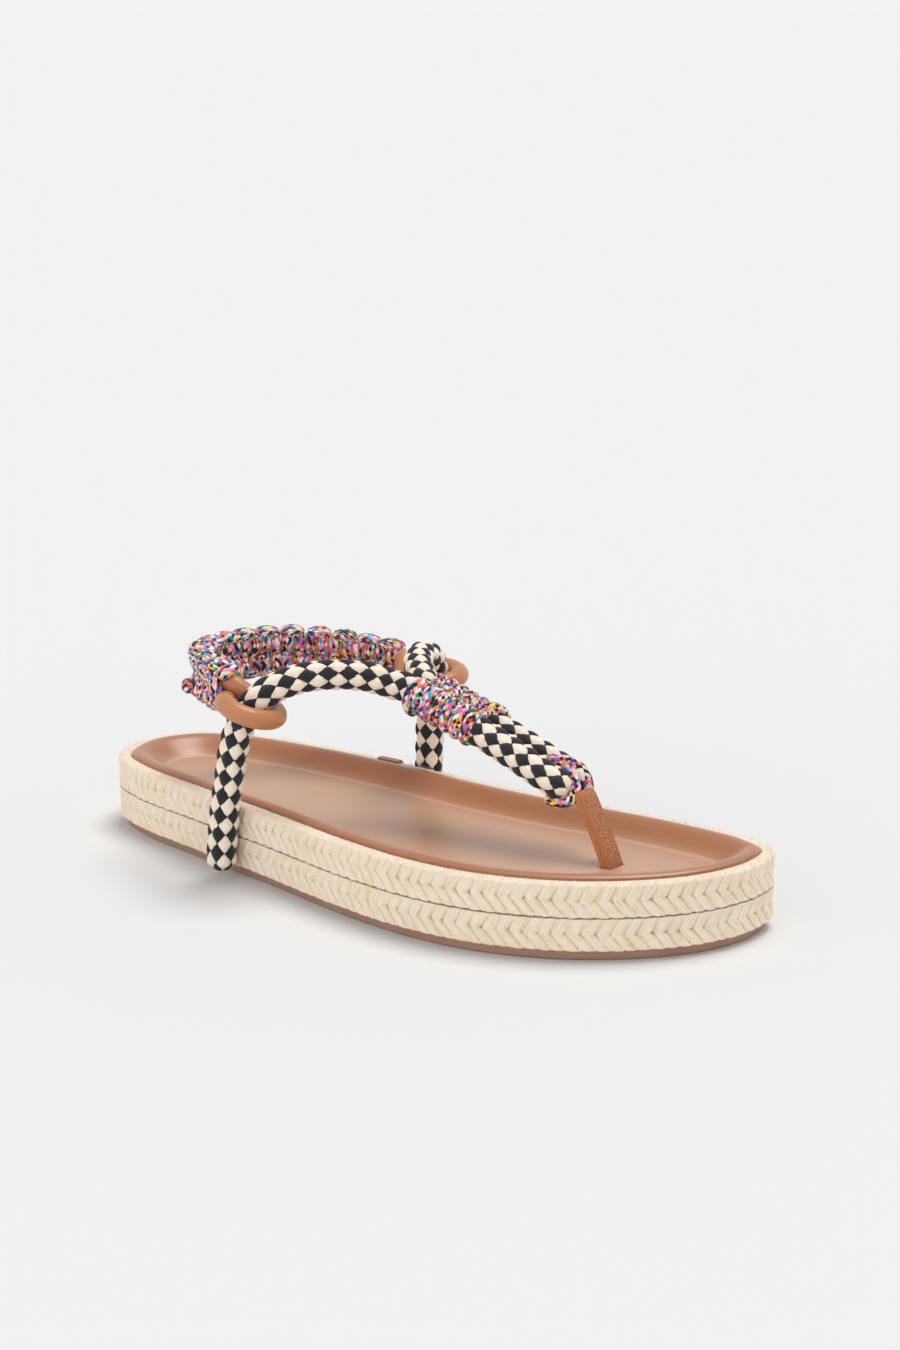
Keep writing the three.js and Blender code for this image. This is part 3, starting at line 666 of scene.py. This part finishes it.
CORD_ROUTES = {
    -1: ((0.334, -0.506, 0.480), (0.340, -0.504, 0.610), (0.348, -0.500, 0.715), (0.358, -0.495, 0.800),
         (0.370, -0.484, 0.865), (0.388, -0.444, 0.935), (0.411, -0.370, 0.983), (0.428, -0.312, 0.996),
         (0.442, -0.260, 0.996), (0.457, -0.203, 0.988), (0.473, -0.148, 0.970), (0.490, -0.105, 0.942)),
    1: ((0.398, 0.449, 0.440), (0.399, 0.448, 0.570), (0.403, 0.444, 0.674), (0.408, 0.435, 0.771),
        (0.414, 0.416, 0.855), (0.420, 0.379, 0.909), (0.427, 0.325, 0.943), (0.436, 0.262, 0.955),
        (0.449, 0.200, 0.953), (0.466, 0.145, 0.944), (0.485, 0.095, 0.931)),
}


def thong_point(x, side):
    """Middle of one cord of the thong, or of both where side is 0."""
    share = (x - INSTEP_WRAP_AT) / (THONG_TIP_AT - INSTEP_WRAP_AT)
    start = np.array([INSTEP_WRAP_AT, THONG_ACROSS, INSTEP_HEIGHT * 0.918])
    end = np.array([THONG_TIP_AT, THONG_ACROSS - 0.6, TOE_JOINT_HEIGHT])
    pinch = 1 - 2.8 * (share - 0.9) if share > 0.9 else 1
    rise = THONG_ARCH * 4 * share * (1 - share)
    roll = THONG_ROLL_END + (THONG_ROLL_START - THONG_ROLL_END) * (1 - share) ** 2
    return start + (end - start) * share + (
        0, side * (CORD_DIAMETER + CLEARANCE) / 2 * pinch, rise - side * roll)


def cord_points(side):
    """Points along one cord, from the foot of its leg over the instep to the tip of the thong."""
    leg_at = LEG_AT[side]
    near = (SOLE_POINTS[:, 1] * side > 0) & (np.abs(SOLE_POINTS[:, 0] - leg_at) < 2)
    out = side * ((SOLE_POINTS[near, 1] * side).max() + CORD_DIAMETER / 2 + CLEARANCE)
    along, _, up = CORD_ROUTES[side][0]
    leg = []
    for z in np.multiply(LEG_SHARES, LEG_FREE_HEIGHT):
        leg.append((leg_at + (along * SOLE_LENGTH - leg_at) * (z / (up * INSTEP_HEIGHT)) ** 1.5, out, z))
    arch = [(a * SOLE_LENGTH, c * SOLE_WIDTH, u * INSTEP_HEIGHT) for a, c, u in CORD_ROUTES[side]]
    thong = [thong_point(INSTEP_WRAP_AT + s * (THONG_TIP_AT - INSTEP_WRAP_AT), side)
             for s in (0.01, 0.14, 0.3, 0.5, 0.7, 0.88, 1)]
    return [*leg, *arch, *thong]


def frames_along(line, side, closed=False):
    """The way ahead, sideways and up at each point, turning as little as the line allows."""
    ahead = np.roll(line, -1, 0) - np.roll(line, 1, 0)
    if not closed:
        ahead[0], ahead[-1] = line[1] - line[0], line[-1] - line[-2]
    ahead /= np.linalg.norm(ahead, axis=1)[:, None]
    sides, side = [], np.array(side, float)
    for way in ahead:
        side = side - way * side.dot(way)
        side /= np.linalg.norm(side)
        sides.append(side)
    sides = np.array(sides)
    ups = np.cross(ahead, sides)
    if closed:
        last = sides[-1] - ahead[0] * sides[-1].dot(ahead[0])
        twist = math.atan2(last.dot(ups[0]), last.dot(sides[0]))
        turn = (-twist * np.arange(len(line)) / (len(line) - 1))[:, None]
        sides, ups = (sides * np.cos(turn) + ups * np.sin(turn), ups * np.cos(turn) - sides * np.sin(turn))
    return ahead, sides, ups


def loft(name, rows, u, v, finish, closed=False):
    """A skin over rows of points, each a ring, with u round the ring and v from row to row."""
    count, around = rows.shape[:2]
    r0, c0, quads = grid_quads(count, around, closed)
    uv = np.stack([
        np.stack([u[c0], v[r0]], -1), np.stack([u[c0 + 1], v[r0]], -1),
        np.stack([u[c0 + 1], v[r0 + 1]], -1), np.stack([u[c0], v[r0 + 1]], -1)], -2).reshape(-1, 4, 2)
    flat = rows.reshape(-1, 3)
    a, b, c, d = (flat[quads[:, k]] for k in range(4))
    inside_out = np.einsum("ij,ij->i", a, np.cross(b, c) + np.cross(c, d)).sum() < 0
    if inside_out:
        quads, uv = quads[:, ::-1], uv[:, ::-1]
    faces, corner_uv = quads.tolist(), [uv.reshape(-1, 2)]
    if not closed:
        first, last = list(range(around)), list(range((count - 1) * around, count * around))
        for ring, level, turned in ((first, v[0], not inside_out), (last, v[-1], inside_out)):
            faces.append(ring[::-1] if turned else ring)
            corner_uv.append(np.tile([0.5, level], (around, 1)))
    return mesh_piece(name, flat, faces, np.vstack(corner_uv), finish)


# Plait turned to diamonds: the two directions of the strands, from a vector that counts
# columns round the cord and diamonds along it, and how each cell swells between its seams
plait_cells, plait_in, plait_out = add_group("plait_cells", [("Vector", "NodeSocketVector", None)], [
    ("Vector", "NodeSocketVector"), ("Height", "NodeSocketFloat"), ("Seam", "NodeSocketFloat")])
plait_turn = add_node(plait_cells, "ShaderNodeMapping", {
    "Vector": plait_in.outputs["Vector"], "Location": (0.5, 0.5, 0), "Rotation": (0, 0, math.radians(-45)),
    "Scale": (0.5 * math.sqrt(2), math.sqrt(2), 1)})
plait_part = add_node(plait_cells, "ShaderNodeVectorMath", {0: plait_turn.outputs[0]}, operation="FRACTION")
plait_off = add_node(plait_cells, "ShaderNodeVectorMath", {
    0: plait_part.outputs[0], 1: (-0.5, -0.5, 0)}, operation="ADD")
plait_away = add_node(plait_cells, "ShaderNodeVectorMath", {0: plait_off.outputs[0]}, operation="ABSOLUTE")
plait_sides = add_node(plait_cells, "ShaderNodeSeparateXYZ", {"Vector": plait_away.outputs[0]})
plait_edge = add_node(plait_cells, "ShaderNodeMath", {
    0: plait_sides.outputs["X"], 1: plait_sides.outputs["Y"], 2: 0.5}, operation="SMOOTH_MAX")
plait_height = add_node(plait_cells, "ShaderNodeMapRange", {
    "Value": plait_edge.outputs[0], "From Min": 0.15, "From Max": 0.56, "To Min": 1.0, "To Max": 0.0},
    interpolation_type="SMOOTHSTEP")
# Painted shade: the share of dark that falls along the seams between the cells
plait_seam_shade = add_node(plait_cells, "ShaderNodeMapRange", {
    "Value": plait_edge.outputs[0], "From Min": 0.49, "From Max": 0.6}, interpolation_type="SMOOTHSTEP")
plait_cells.links.new(plait_turn.outputs[0], plait_out.inputs["Vector"])
plait_cells.links.new(plait_height.outputs[0], plait_out.inputs["Height"])
plait_cells.links.new(plait_seam_shade.outputs[0], plait_out.inputs["Seam"])

cotton, cotton_tree, cotton_shader = new_material(
    "checkered_cotton", 0.9, Sheen_Weight=0.2, Sheen_Roughness=0.5, Specular_IOR_Level=0.15)
cotton_uv = add_node(cotton_tree, "ShaderNodeTexCoord")
cotton_wander = add_node(cotton_tree, "ShaderNodeTexNoise", {
    "Vector": cotton_uv.outputs["Object"], "Scale": 700.0, "Detail": 3.0})
cotton_shift = add_node(cotton_tree, "ShaderNodeVectorMath", {
    0: cotton_wander.outputs["Color"], 1: (-0.5, -0.5, -0.5)}, operation="ADD")
cotton_small = add_node(cotton_tree, "ShaderNodeVectorMath", {
    0: cotton_shift.outputs[0], 1: (0.3, 0.11, 0.0)}, operation="MULTIPLY")
cotton_place = add_node(cotton_tree, "ShaderNodeVectorMath", {
    0: cotton_uv.outputs["UV"], 1: cotton_small.outputs[0]}, operation="ADD")
cotton_turned = use_group(cotton_tree, plait_cells, {"Vector": cotton_place.outputs[0]})
cotton_checks = add_node(cotton_tree, "ShaderNodeTexChecker", {
    "Vector": cotton_turned.outputs["Vector"], "Scale": 1.0})
cotton_fibres = use_group(cotton_tree, fibres, {
    "Vector": cotton_uv.outputs["UV"], "Across": 9.0, "Along": 1.6})
cotton_shade = cotton_fibres.outputs["Shade"]
cotton_cream = mix_tones(cotton_tree, cotton_shade, tone(242, 222, 196), tone(255, 246, 232))
cotton_black = mix_tones(cotton_tree, cotton_shade, tone(28, 28, 34), tone(58, 57, 64))
cotton_checked = mix_tones(cotton_tree, cotton_checks.outputs["Fac"], cotton_black, cotton_cream)
# Painted shade in the grooves between the cells, which also rounds off the tips of the cream cells
cotton_seam_shade = add_node(cotton_tree, "ShaderNodeMath", {
    0: cotton_turned.outputs["Seam"], 1: 0.85}, operation="MULTIPLY")
cotton_colour = mix_tones(cotton_tree, cotton_seam_shade.outputs[0], cotton_checked, tone(34, 31, 32))
finish_surface(cotton_tree, cotton_shader, cotton_colour, cotton_fibres.outputs["Height"], 0.5, 0.0003)

for side, node in ((-1, "upper_cord_lateral"), (1, "upper_cord_medial")):
    line, length = even_points(cord_points(side), CORD_STEP)
    _, sides, ups = frames_along(line, (1, 0, 0))
    around = np.arange(CORD_SIDES) / CORD_SIDES
    run = np.arange(len(line)) * length / (len(line) - 1)
    columns = around[None, :] * CORD_COLUMNS
    diamonds = (run / DIAMOND_LENGTH)[:, None]
    puff = 1
    for strands in (columns / 2 + diamonds, columns / 2 - diamonds):
        puff = puff * (1 - np.abs(2 * (strands - np.round(strands))) ** 2.2)
    from_end = np.minimum(run, length - run)
    taper = np.clip(CORD_TIP + from_end / CORD_TAPER, 0, 1)[:, None]
    radius = taper * (CORD_DIAMETER / 2 - CORD_SEAM + CORD_PUFF * puff ** 0.5)
    angle = 2 * np.pi * around
    rows = line[:, None, :] + radius[..., None] * (
        np.cos(angle)[None, :, None] * sides[:, None, :] + np.sin(angle)[None, :, None] * ups[:, None, :])
    cord = loft("checkered_" + node, rows, np.arange(CORD_SIDES + 1) / CORD_SIDES * CORD_COLUMNS,
                run / DIAMOND_LENGTH, cotton)
    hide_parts(node)
    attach(cord, "root")


# Instep knots
# A sleeve of square knots in thin plaited cord of many colours holds both checkered cords
# together where the thong begins. One end of it passes over them, the other under them.
FINE_CORD = 4.0
KNOT_LENGTH = 8.4
INSTEP_KNOTS = 4
SLEEVE_FROM = 137.0
SLEEVE_SHARE = 0.8
SPECK_COLUMNS = 18
SPECK_LENGTH = 1.6
FINE_SIDES = 16
FINE_STEP = 0.7
SPECKS = (
    (0.00, tone(26, 24, 34)), (0.23, tone(240, 104, 150)), (0.37, tone(250, 176, 198)),
    (0.46, tone(252, 248, 244)), (0.63, tone(64, 70, 174)), (0.70, tone(40, 172, 226)),
    (0.78, tone(252, 226, 104)), (0.85, tone(224, 62, 90)), (0.89, tone(52, 168, 106)),
    (0.94, tone(250, 158, 82)),
)

confetti, confetti_tree, confetti_shader = new_material(
    "confetti_cord", 0.55, Sheen_Weight=0.15, Specular_IOR_Level=0.3)
confetti_uv = add_node(confetti_tree, "ShaderNodeTexCoord")
confetti_turned = use_group(confetti_tree, plait_cells, {"Vector": confetti_uv.outputs["UV"]})
confetti_cell = add_node(confetti_tree, "ShaderNodeVectorMath", {
    0: confetti_turned.outputs["Vector"]}, operation="FLOOR")
confetti_pick = add_node(confetti_tree, "ShaderNodeTexWhiteNoise", {
    "Vector": confetti_cell.outputs[0]}, noise_dimensions="2D")
confetti_ramp = add_node(confetti_tree, "ShaderNodeValToRGB", {"Fac": confetti_pick.outputs["Value"]})
confetti_ramp.color_ramp.interpolation = "CONSTANT"
stops = confetti_ramp.color_ramp.elements
stops[0].position, stops[0].color = SPECKS[0]
stops[1].position, stops[1].color = SPECKS[1]
for position, colour in SPECKS[2:]:
    stops.new(position).color = colour
# Painted shade in the grooves between the cells of the thin cord
confetti_seam_shade = add_node(confetti_tree, "ShaderNodeMath", {
    0: confetti_turned.outputs["Seam"], 1: 0.4}, operation="MULTIPLY")
confetti_colour = mix_tones(
    confetti_tree, confetti_seam_shade.outputs[0], confetti_ramp.outputs["Color"], tone(40, 20, 40))
finish_surface(
    confetti_tree, confetti_shader, confetti_colour, confetti_turned.outputs["Height"], 0.7, 0.0004)


def fine_cord(points, side=(0.3, 0.2, 1), closed=False, wide=FINE_CORD, thick=FINE_CORD, blunt=0.0):
    """A run of the thin cord through the given points, pressed a little flat where thick is less
    than wide, and rounded off at its ends where blunt says over what length."""
    line, length = even_points(points, FINE_STEP, closed)
    _, across, ups = frames_along(line, side, closed)
    angle = 2 * np.pi * np.arange(FINE_SIDES) / FINE_SIDES
    run = np.arange(len(line)) * length / len(line)
    swell = np.ones(len(line))
    if blunt:
        number = np.arange(len(line))
        share = np.minimum(number, number[::-1]) * FINE_STEP / blunt
        swell = np.where(share > 1, 1, np.sqrt(np.clip(0.12 + share * (2 - share), 0, 1)))
    rows = line[:, None, :] + swell[:, None, None] * (
        wide / 2 * np.cos(angle)[None, :, None] * across[:, None, :]
        + thick / 2 * np.sin(angle)[None, :, None] * ups[:, None, :])
    columns = 2 * round(SPECK_COLUMNS * (wide + thick) / (4 * FINE_CORD))
    v = np.append(run, length) / SPECK_LENGTH + rng.integers(0, 50)
    return loft("fine_cord", rows, np.arange(FINE_SIDES + 1) / FINE_SIDES * columns, v, confetti, closed)


def place_on(line, way, across, face, at):
    """The point, way ahead, and both sideways directions at a length along a line."""
    run = np.concatenate([[0], np.cumsum(np.linalg.norm(np.diff(line, axis=0), axis=1))])
    found = [np.array([np.interp(at, run, part[:, k]) for k in range(3)])
             for part in (line, way, across, face)]
    return found[0], *(part / np.linalg.norm(part) for part in found[1:])


def laid_cord(place, offsets, **size):
    """A run of the thin cord through points given ahead, across and out from a place on a line."""
    middle, ahead, across, face = place
    return fine_cord([middle + across * e + face * n + ahead * a for a, e, n in offsets], **size)


def bound_turn(place, apart, core, sunk, dip, lean, wide, thick):
    """One turn of the thin cord round two cores side by side, sunk a little into both and dipping
    in between them."""
    middle, ahead, across, face = place
    reach = core + thick / 2 - sunk
    ring = []
    round_both = ((1, (-72, -36, 0, 36, 72)), (0, (90,)), (-1, (108, 144, 180, 216, 252)), (0, (270,)))
    for side, degrees in round_both:
        for degree in degrees:
            a = math.radians(degree)
            e = side * apart + reach * math.cos(a)
            n = (reach - (dip if side == 0 else 0)) * math.sin(a)
            ring.append(middle + across * e + face * n + ahead * lean * e)
    return fine_cord(ring, ahead, True, wide, thick)


def edge_bead(place, out, rise, along, fat, tall):
    """A short round bead where a knot locks over the edge of a band."""
    middle, ahead, across, face = place
    path = [middle + ahead * (s * along) + across * (out + rise * (1 - abs(s) ** 2.2))
            for s in (-1, -0.6, 0, 0.6, 1)]
    return fine_cord(path, face, False, fat, tall, blunt=BEAD_BLUNT)


def join(objects, name):
    """All the given runs of cord as one piece."""
    bpy.ops.object.select_all(action="DESELECT")
    for one in objects:
        one.select_set(True)
    bpy.context.view_layer.objects.active = objects[0]
    bpy.ops.object.join()
    made = bpy.context.object
    made.name = name
    made.data.name = name
    made.select_set(False)
    return made


CORDS_APART = (CORD_DIAMETER + CLEARANCE) / 2
SLEEVE_TURNS = 6
FIRST_TURN = 4.4
BEAD_BLUNT = 1.8
sleeve_length = SLEEVE_SHARE * INSTEP_KNOTS * KNOT_LENGTH
turn_pitch = (sleeve_length - 4.0) / (SLEEVE_TURNS - 1)
sleeve_line = np.array([thong_point(SLEEVE_FROM + x, 0) for x in np.linspace(-2, sleeve_length + 2, 60)])
sleeve_frames = frames_along(sleeve_line, (0, 1, -0.08))
sleeve_parts = []
for k in range(SLEEVE_TURNS):
    spot = place_on(sleeve_line, *sleeve_frames, FIRST_TURN + k * turn_pitch)
    sleeve_parts.append(bound_turn(
        spot, CORDS_APART, CORD_DIAMETER / 2, sunk=1.5, dip=1.4, lean=-0.17, wide=3.9, thick=3.1))
for k in range(0, SLEEVE_TURNS - 1, 2):
    spot = place_on(sleeve_line, *sleeve_frames, FIRST_TURN + (k + 0.5) * turn_pitch)
    sleeve_parts.append(edge_bead(spot, CORDS_APART + 3.6, rise=0.5, along=2.8, fat=4.0, tall=3.2))
    sleeve_parts.append(edge_bead(spot, -CORDS_APART - 4.0, rise=-0.6, along=2.8, fat=4.2, tall=3.2))
# Its two loose ends, ahead, across and out: one rounds the near cord at the back, the other lies
# over the far one
SLEEVE_START = (
    (4.2, -1.6, 4.0), (3.0, -5.4, 4.6), (2.0, -9.0, 2.6), (2.0, -10.3, -1.0), (3.0, -8.8, -4.3),
    (4.4, -6.0, -5.6),
)
SLEEVE_END = ((-3.0, 1.0, 4.0), (-1.0, 4.6, 5.6), (1.2, 8.6, 3.8), (2.0, 10.2, 0.5), (1.0, 9.0, -3.5))
spot = place_on(sleeve_line, *sleeve_frames, 1.2)
sleeve_parts.append(laid_cord(spot, SLEEVE_START, blunt=1.8, thick=3.2))
spot = place_on(sleeve_line, *sleeve_frames, sleeve_length + 1.5)
sleeve_parts.append(laid_cord(spot, SLEEVE_END, blunt=1.8, thick=3.4))
instep_knots = join(sleeve_parts, "square_knots_instep")
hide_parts("instep_knots")
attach(instep_knots, "root")


# Toe tie
# The same thin cord comes up between the cords at the toe, rounds the end of each, passes
# through the fold of the toe post and is drawn tight.
tip_at = thong_point(THONG_TIP_AT, 0)
tip_ahead = tip_at - thong_point(THONG_TIP_AT - 6, 0)
tip_ahead = tip_ahead / np.linalg.norm(tip_ahead)
tip_across = np.array([0, 1.0, 0])
tip_up = np.cross(tip_ahead, tip_across)
# Ahead, across and up from the tip of the thong
TIE_RUNS = (
    ((-14, -0.2, 1.5), (-11.5, 0.8, 3.8), (-8, 3.0, 4.9), (-4, 4.9, 4.4), (-0.6, 5.4, 2.4),
     (2.2, 4.4, -0.6), (3.2, 1.5, -2.6), (2.4, -1.0, -4.0)),
    ((-7.5, 0.2, 3.4), (-4.5, -0.8, 4.6), (-1.2, -1.6, 3.8), (1.4, -2.4, 1.0), (2.2, -4.0, -1.6),
     (0.8, -6.0, -3.9), (-1.6, -7.0, -4.6), (-3.8, -6.8, -5.2), (-5.4, -4.6, -5.6)),
    ((2.4, -3.4, -2.4), (4.2, -1.6, -0.6), (4.7, 0.8, -0.1), (4.0, 3.2, -1.2), (2.0, 4.2, -3.2)),
)
tip = (tip_at, tip_ahead, tip_across, tip_up)
toe_tie = join([laid_cord(tip, run, blunt=1.6, wide=3.7, thick=3.4) for run in TIE_RUNS], "wound_toe_tie")
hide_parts("toe_tie")
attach(toe_tie, "root")


# Toe post
# A strip of tan leather folded double over the tie, its two ends pushed through the slot in the
# bed. Its faces are rough and its cut edges smooth and dark.
POST_ROOT = 8.0
POST_LEAN = 11.2
POST_SWAY = 0.9
STRIP = POST_THICKNESS / 2 - 0.08
STRIP_CORNER = 0.32
STRIP_GAP = 0.02
STRIP_STEP = 0.5
post_foot = BED_HEIGHT - POST_ROOT
post_top = TOE_JOINT_HEIGHT - CORD_DIAMETER * 0.22
POST_RISE = (0, 0.24, 0.5, 0.76, 1)
POST_BEND = (-0.045, 0, 0.286, 0.643, 1)
post_middle = [
    (POST_AT - bend * POST_LEAN, POST_ACROSS + rise * POST_SWAY, post_foot + rise * (post_top - post_foot))
    for rise, bend in zip(POST_RISE, POST_BEND)]
post_line, _ = even_points(post_middle, STRIP_STEP)
post_ahead, _, post_face = frames_along(post_line, (0, 1, 0))
# Over the top of the fold, outwards and upwards as shares of the strip's thickness
FOLD = ((0.45, 0.5), (0.2, 1.1), (-0.2, 1.1), (-0.45, 0.5))
halves = [post_line + post_face * (side * (STRIP / 2 + STRIP_GAP)) for side in (1, -1)]
round_top = [post_line[-1] + post_face[-1] * a * STRIP + post_ahead[-1] * b * STRIP for a, b in FOLD]
strip_line, _ = even_points([*halves[0][::4], *round_top, *halves[1][::-4]], STRIP_STEP)
_, strip_across, strip_face = frames_along(strip_line, (0, 1, 0))
# Round the strip's section, and how much each point of it faces out from a broad side
section, broad = [], []
for side_a, side_b in ((1, -1), (1, 1), (-1, 1), (-1, -1)):
    for degrees in (0, 30, 60, 90):
        a = math.radians(degrees if side_a * side_b > 0 else 90 - degrees)
        section.append((side_a * (POST_WIDTH / 2 - STRIP_CORNER * (1 - math.cos(a))),
                        side_b * (STRIP / 2 - STRIP_CORNER * (1 - math.sin(a)))))
        broad.append(math.sin(a))
section = np.array(section)
strip_rows = (strip_line[:, None, :] + section[None, :, :1] * strip_across[:, None, :]
              + section[None, :, 1:] * strip_face[:, None, :])
post_leather, post_shader, post_colour = leather(
    "post_leather", tone(204, 132, 78), tone(172, 102, 50), 0.36, 900.0, 0.0001)
post_tree = post_leather.node_tree
# The broad faces are the flesh side, rough and flecked with pale fibres
post_places = add_node(post_tree, "ShaderNodeTexCoord")
post_broad = add_node(post_tree, "ShaderNodeSeparateXYZ", {"Vector": post_places.outputs["UV"]}).outputs["X"]
post_flesh = add_node(post_tree, "ShaderNodeMapRange", {
    "Value": post_broad, "From Min": 0.75, "From Max": 1.0})
post_fleck = add_node(post_tree, "ShaderNodeTexNoise", {
    "Vector": post_places.outputs["Object"], "Scale": 1500.0, "Detail": 4.0, "Roughness": 0.7})
post_pale = add_node(post_tree, "ShaderNodeMapRange", {
    "Value": post_fleck.outputs["Fac"], "From Min": 0.5, "From Max": 0.62})
post_flecked = mix_tones(post_tree, post_pale.outputs[0], tone(170, 104, 66), tone(208, 152, 114))
post_both = mix_tones(post_tree, post_flesh.outputs[0], post_colour, post_flecked)
post_depth = add_node(post_tree, "ShaderNodeMath", {
    0: post_fleck.outputs["Fac"], 1: post_flesh.outputs[0]}, operation="MULTIPLY")
finish_surface(post_tree, post_shader, post_both, post_depth.outputs[0], 0.8, 0.0006)
post_rough = add_node(post_tree, "ShaderNodeMapRange", {
    "Value": post_flesh.outputs[0], "To Min": 0.36, "To Max": 0.8})
post_tree.links.new(post_rough.outputs[0], post_shader.inputs["Roughness"])
toe_post = loft("folded_toe_post", strip_rows, np.array(broad + broad[:1]),
                np.arange(len(strip_line)) / len(strip_line), post_leather)
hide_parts("toe_post")
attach(toe_post, "root")


# Leather loop cord
# One endless round cord of smooth tan leather. Its two runs lie one above the other round the
# heel and open into a loop round each checkered cord.
LOOP_CORD = 6.8
LOOP_SIDES = 28
LOOP_STEP = 1.0
HEEL_STRAP_HEIGHT = 0.877 * INSTEP_HEIGHT
# Along, across and up, as shares of the sole's length and width and of the strap's height
HEEL_ROUTE = (
    (0.3080, -0.435, 1.022), (0.2700, -0.385, 1.028), (0.2260, -0.308, 1.028), (0.1930, -0.180, 1.019),
    (0.1820, -0.020, 1.006), (0.1930, 0.142, 0.997), (0.2230, 0.268, 0.988), (0.2670, 0.344, 0.972),
    (0.3130, 0.386, 0.953), (0.3580, 0.410, 0.938),
)
# Along, across, up, dip and tilt of each loop
LATERAL_LOOP = (0.3685, -0.486, 0.971, 0.26, -0.15)
MEDIAL_LOOP = (0.4082, 0.4225, 0.922, 0.05, -0.1)


def heel_point(along, across, up):
    """A place on the heel strap in millimetres, from its shares."""
    return np.array([along * SOLE_LENGTH, across * SOLE_WIDTH, up * HEEL_STRAP_HEIGHT])


def cord_loop(place, side):
    """Points of one loop, from one run of the cord round the leg to the other run."""
    along, across, up, dip, tilt = place
    reach = CORD_DIAMETER / 2 + LOOP_CORD / 2 + 4 * CLEARANCE
    front = np.array([1, side * 0.12, -dip])
    out = np.array([0, side, -tilt])
    front, out = front / np.linalg.norm(front), out / np.linalg.norm(out)
    return [heel_point(along, across, up) + reach * (front * math.cos(a) + out * math.sin(a))
            for a in np.radians([-118, -80, -40, 0, 40, 80, 118])]


half_gap = np.array([0, 0, (LOOP_CORD + CLEARANCE) / 2])
heel_line = [heel_point(*place) for place in HEEL_ROUTE]
loop_points = [*(p + half_gap for p in heel_line), *cord_loop(MEDIAL_LOOP, 1),
               *(p - half_gap for p in heel_line[::-1]), *cord_loop(LATERAL_LOOP, -1)[::-1]]
loop_line, _ = even_points(loop_points, LOOP_STEP, True)
_, loop_side, loop_up = frames_along(loop_line, (0, 1, 0), True)
angle = 2 * np.pi * np.arange(LOOP_SIDES) / LOOP_SIDES
loop_rows = loop_line[:, None, :] + LOOP_CORD / 2 * (
    np.cos(angle)[None, :, None] * loop_side[:, None, :] + np.sin(angle)[None, :, None] * loop_up[:, None, :])
loop_leather = leather(
    "loop_leather", tone(202, 138, 94), tone(180, 114, 70), 0.36, 1300.0, 0.00005, coat=0.1)[0]
loop_cord = loft("leather_loop_cord", loop_rows, np.arange(LOOP_SIDES + 1) / LOOP_SIDES,
                 np.arange(len(loop_line) + 1) * LOOP_STEP, loop_leather, closed=True)
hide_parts("heel_loop_cord")
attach(loop_cord, "root")


# Heel knots
# Square knots of the same thin cord are tied round both runs of the leather cord, one bead after
# another, from near one loop round the heel to the other.
HEEL_KNOTS = 13
CORES_APART = (LOOP_CORD + CLEARANCE) / 2
BAR_WIDTH = 4.0
BAR_SHIFT = 0.28
knot_line, knot_run = even_points(heel_line, LOOP_STEP)
knot_frames = frames_along(knot_line, (0, 0, 1))
knot_pitch = knot_run / HEEL_KNOTS
heel_parts = []
for k in range(HEEL_KNOTS):
    for shift, lean in ((-BAR_SHIFT, 0.05), (BAR_SHIFT, -0.05)):
        spot = place_on(knot_line, *knot_frames, (k + 0.5 + shift) * knot_pitch)
        heel_parts.append(bound_turn(
            spot, CORES_APART, LOOP_CORD / 2, sunk=1.5, dip=1.9, lean=lean, wide=BAR_WIDTH, thick=3.3))
    spot = place_on(knot_line, *knot_frames, (k + 0.5) * knot_pitch)
    heel_parts.append(edge_bead(spot, CORES_APART + 2.6, rise=1.3, along=3.6, fat=10.4, tall=5.0))
    heel_parts.append(edge_bead(spot, -CORES_APART - 2.4, rise=-0.8, along=3.4, fat=9.6, tall=4.2))
# The loose ends of the thin cord are knotted off at the near end
END_BALL = ((-1.6, 4.6, -3.4), (-3.2, 2.6, -4.6), (-4.2, 0.0, -4.8), (-3.4, -2.6, -4.4), (-1.0, -4.6, -4.0))
END_BEAD = ((-1.6, 6.0, 3.2), (-3.2, 6.6, 1.6), (-3.8, 6.8, 0.0), (-3.8, 6.0, -1.8), (-3.2, 4.6, -3.2))
spot = place_on(knot_line, *knot_frames, 1.5)
heel_parts.append(laid_cord(spot, END_BALL, blunt=2.0, wide=4.4, thick=4.2))
heel_parts.append(laid_cord(spot, END_BEAD, blunt=2.4, wide=5.2, thick=5.0))
# One bead stands out where the band turns round the heel
OUTER_BEAD = ((-3.0, -3.4, -4.2), (-1.4, -4.2, -5.7), (1.4, -4.2, -5.7), (3.0, -3.4, -4.2))
spot = place_on(knot_line, *knot_frames, 2.4 * knot_pitch)
heel_parts.append(laid_cord(spot, OUTER_BEAD, blunt=2.0, wide=4.8, thick=4.4))
heel_knots = join(heel_parts, "square_knots_heel")
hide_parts("heel_knots")
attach(heel_knots, "root")
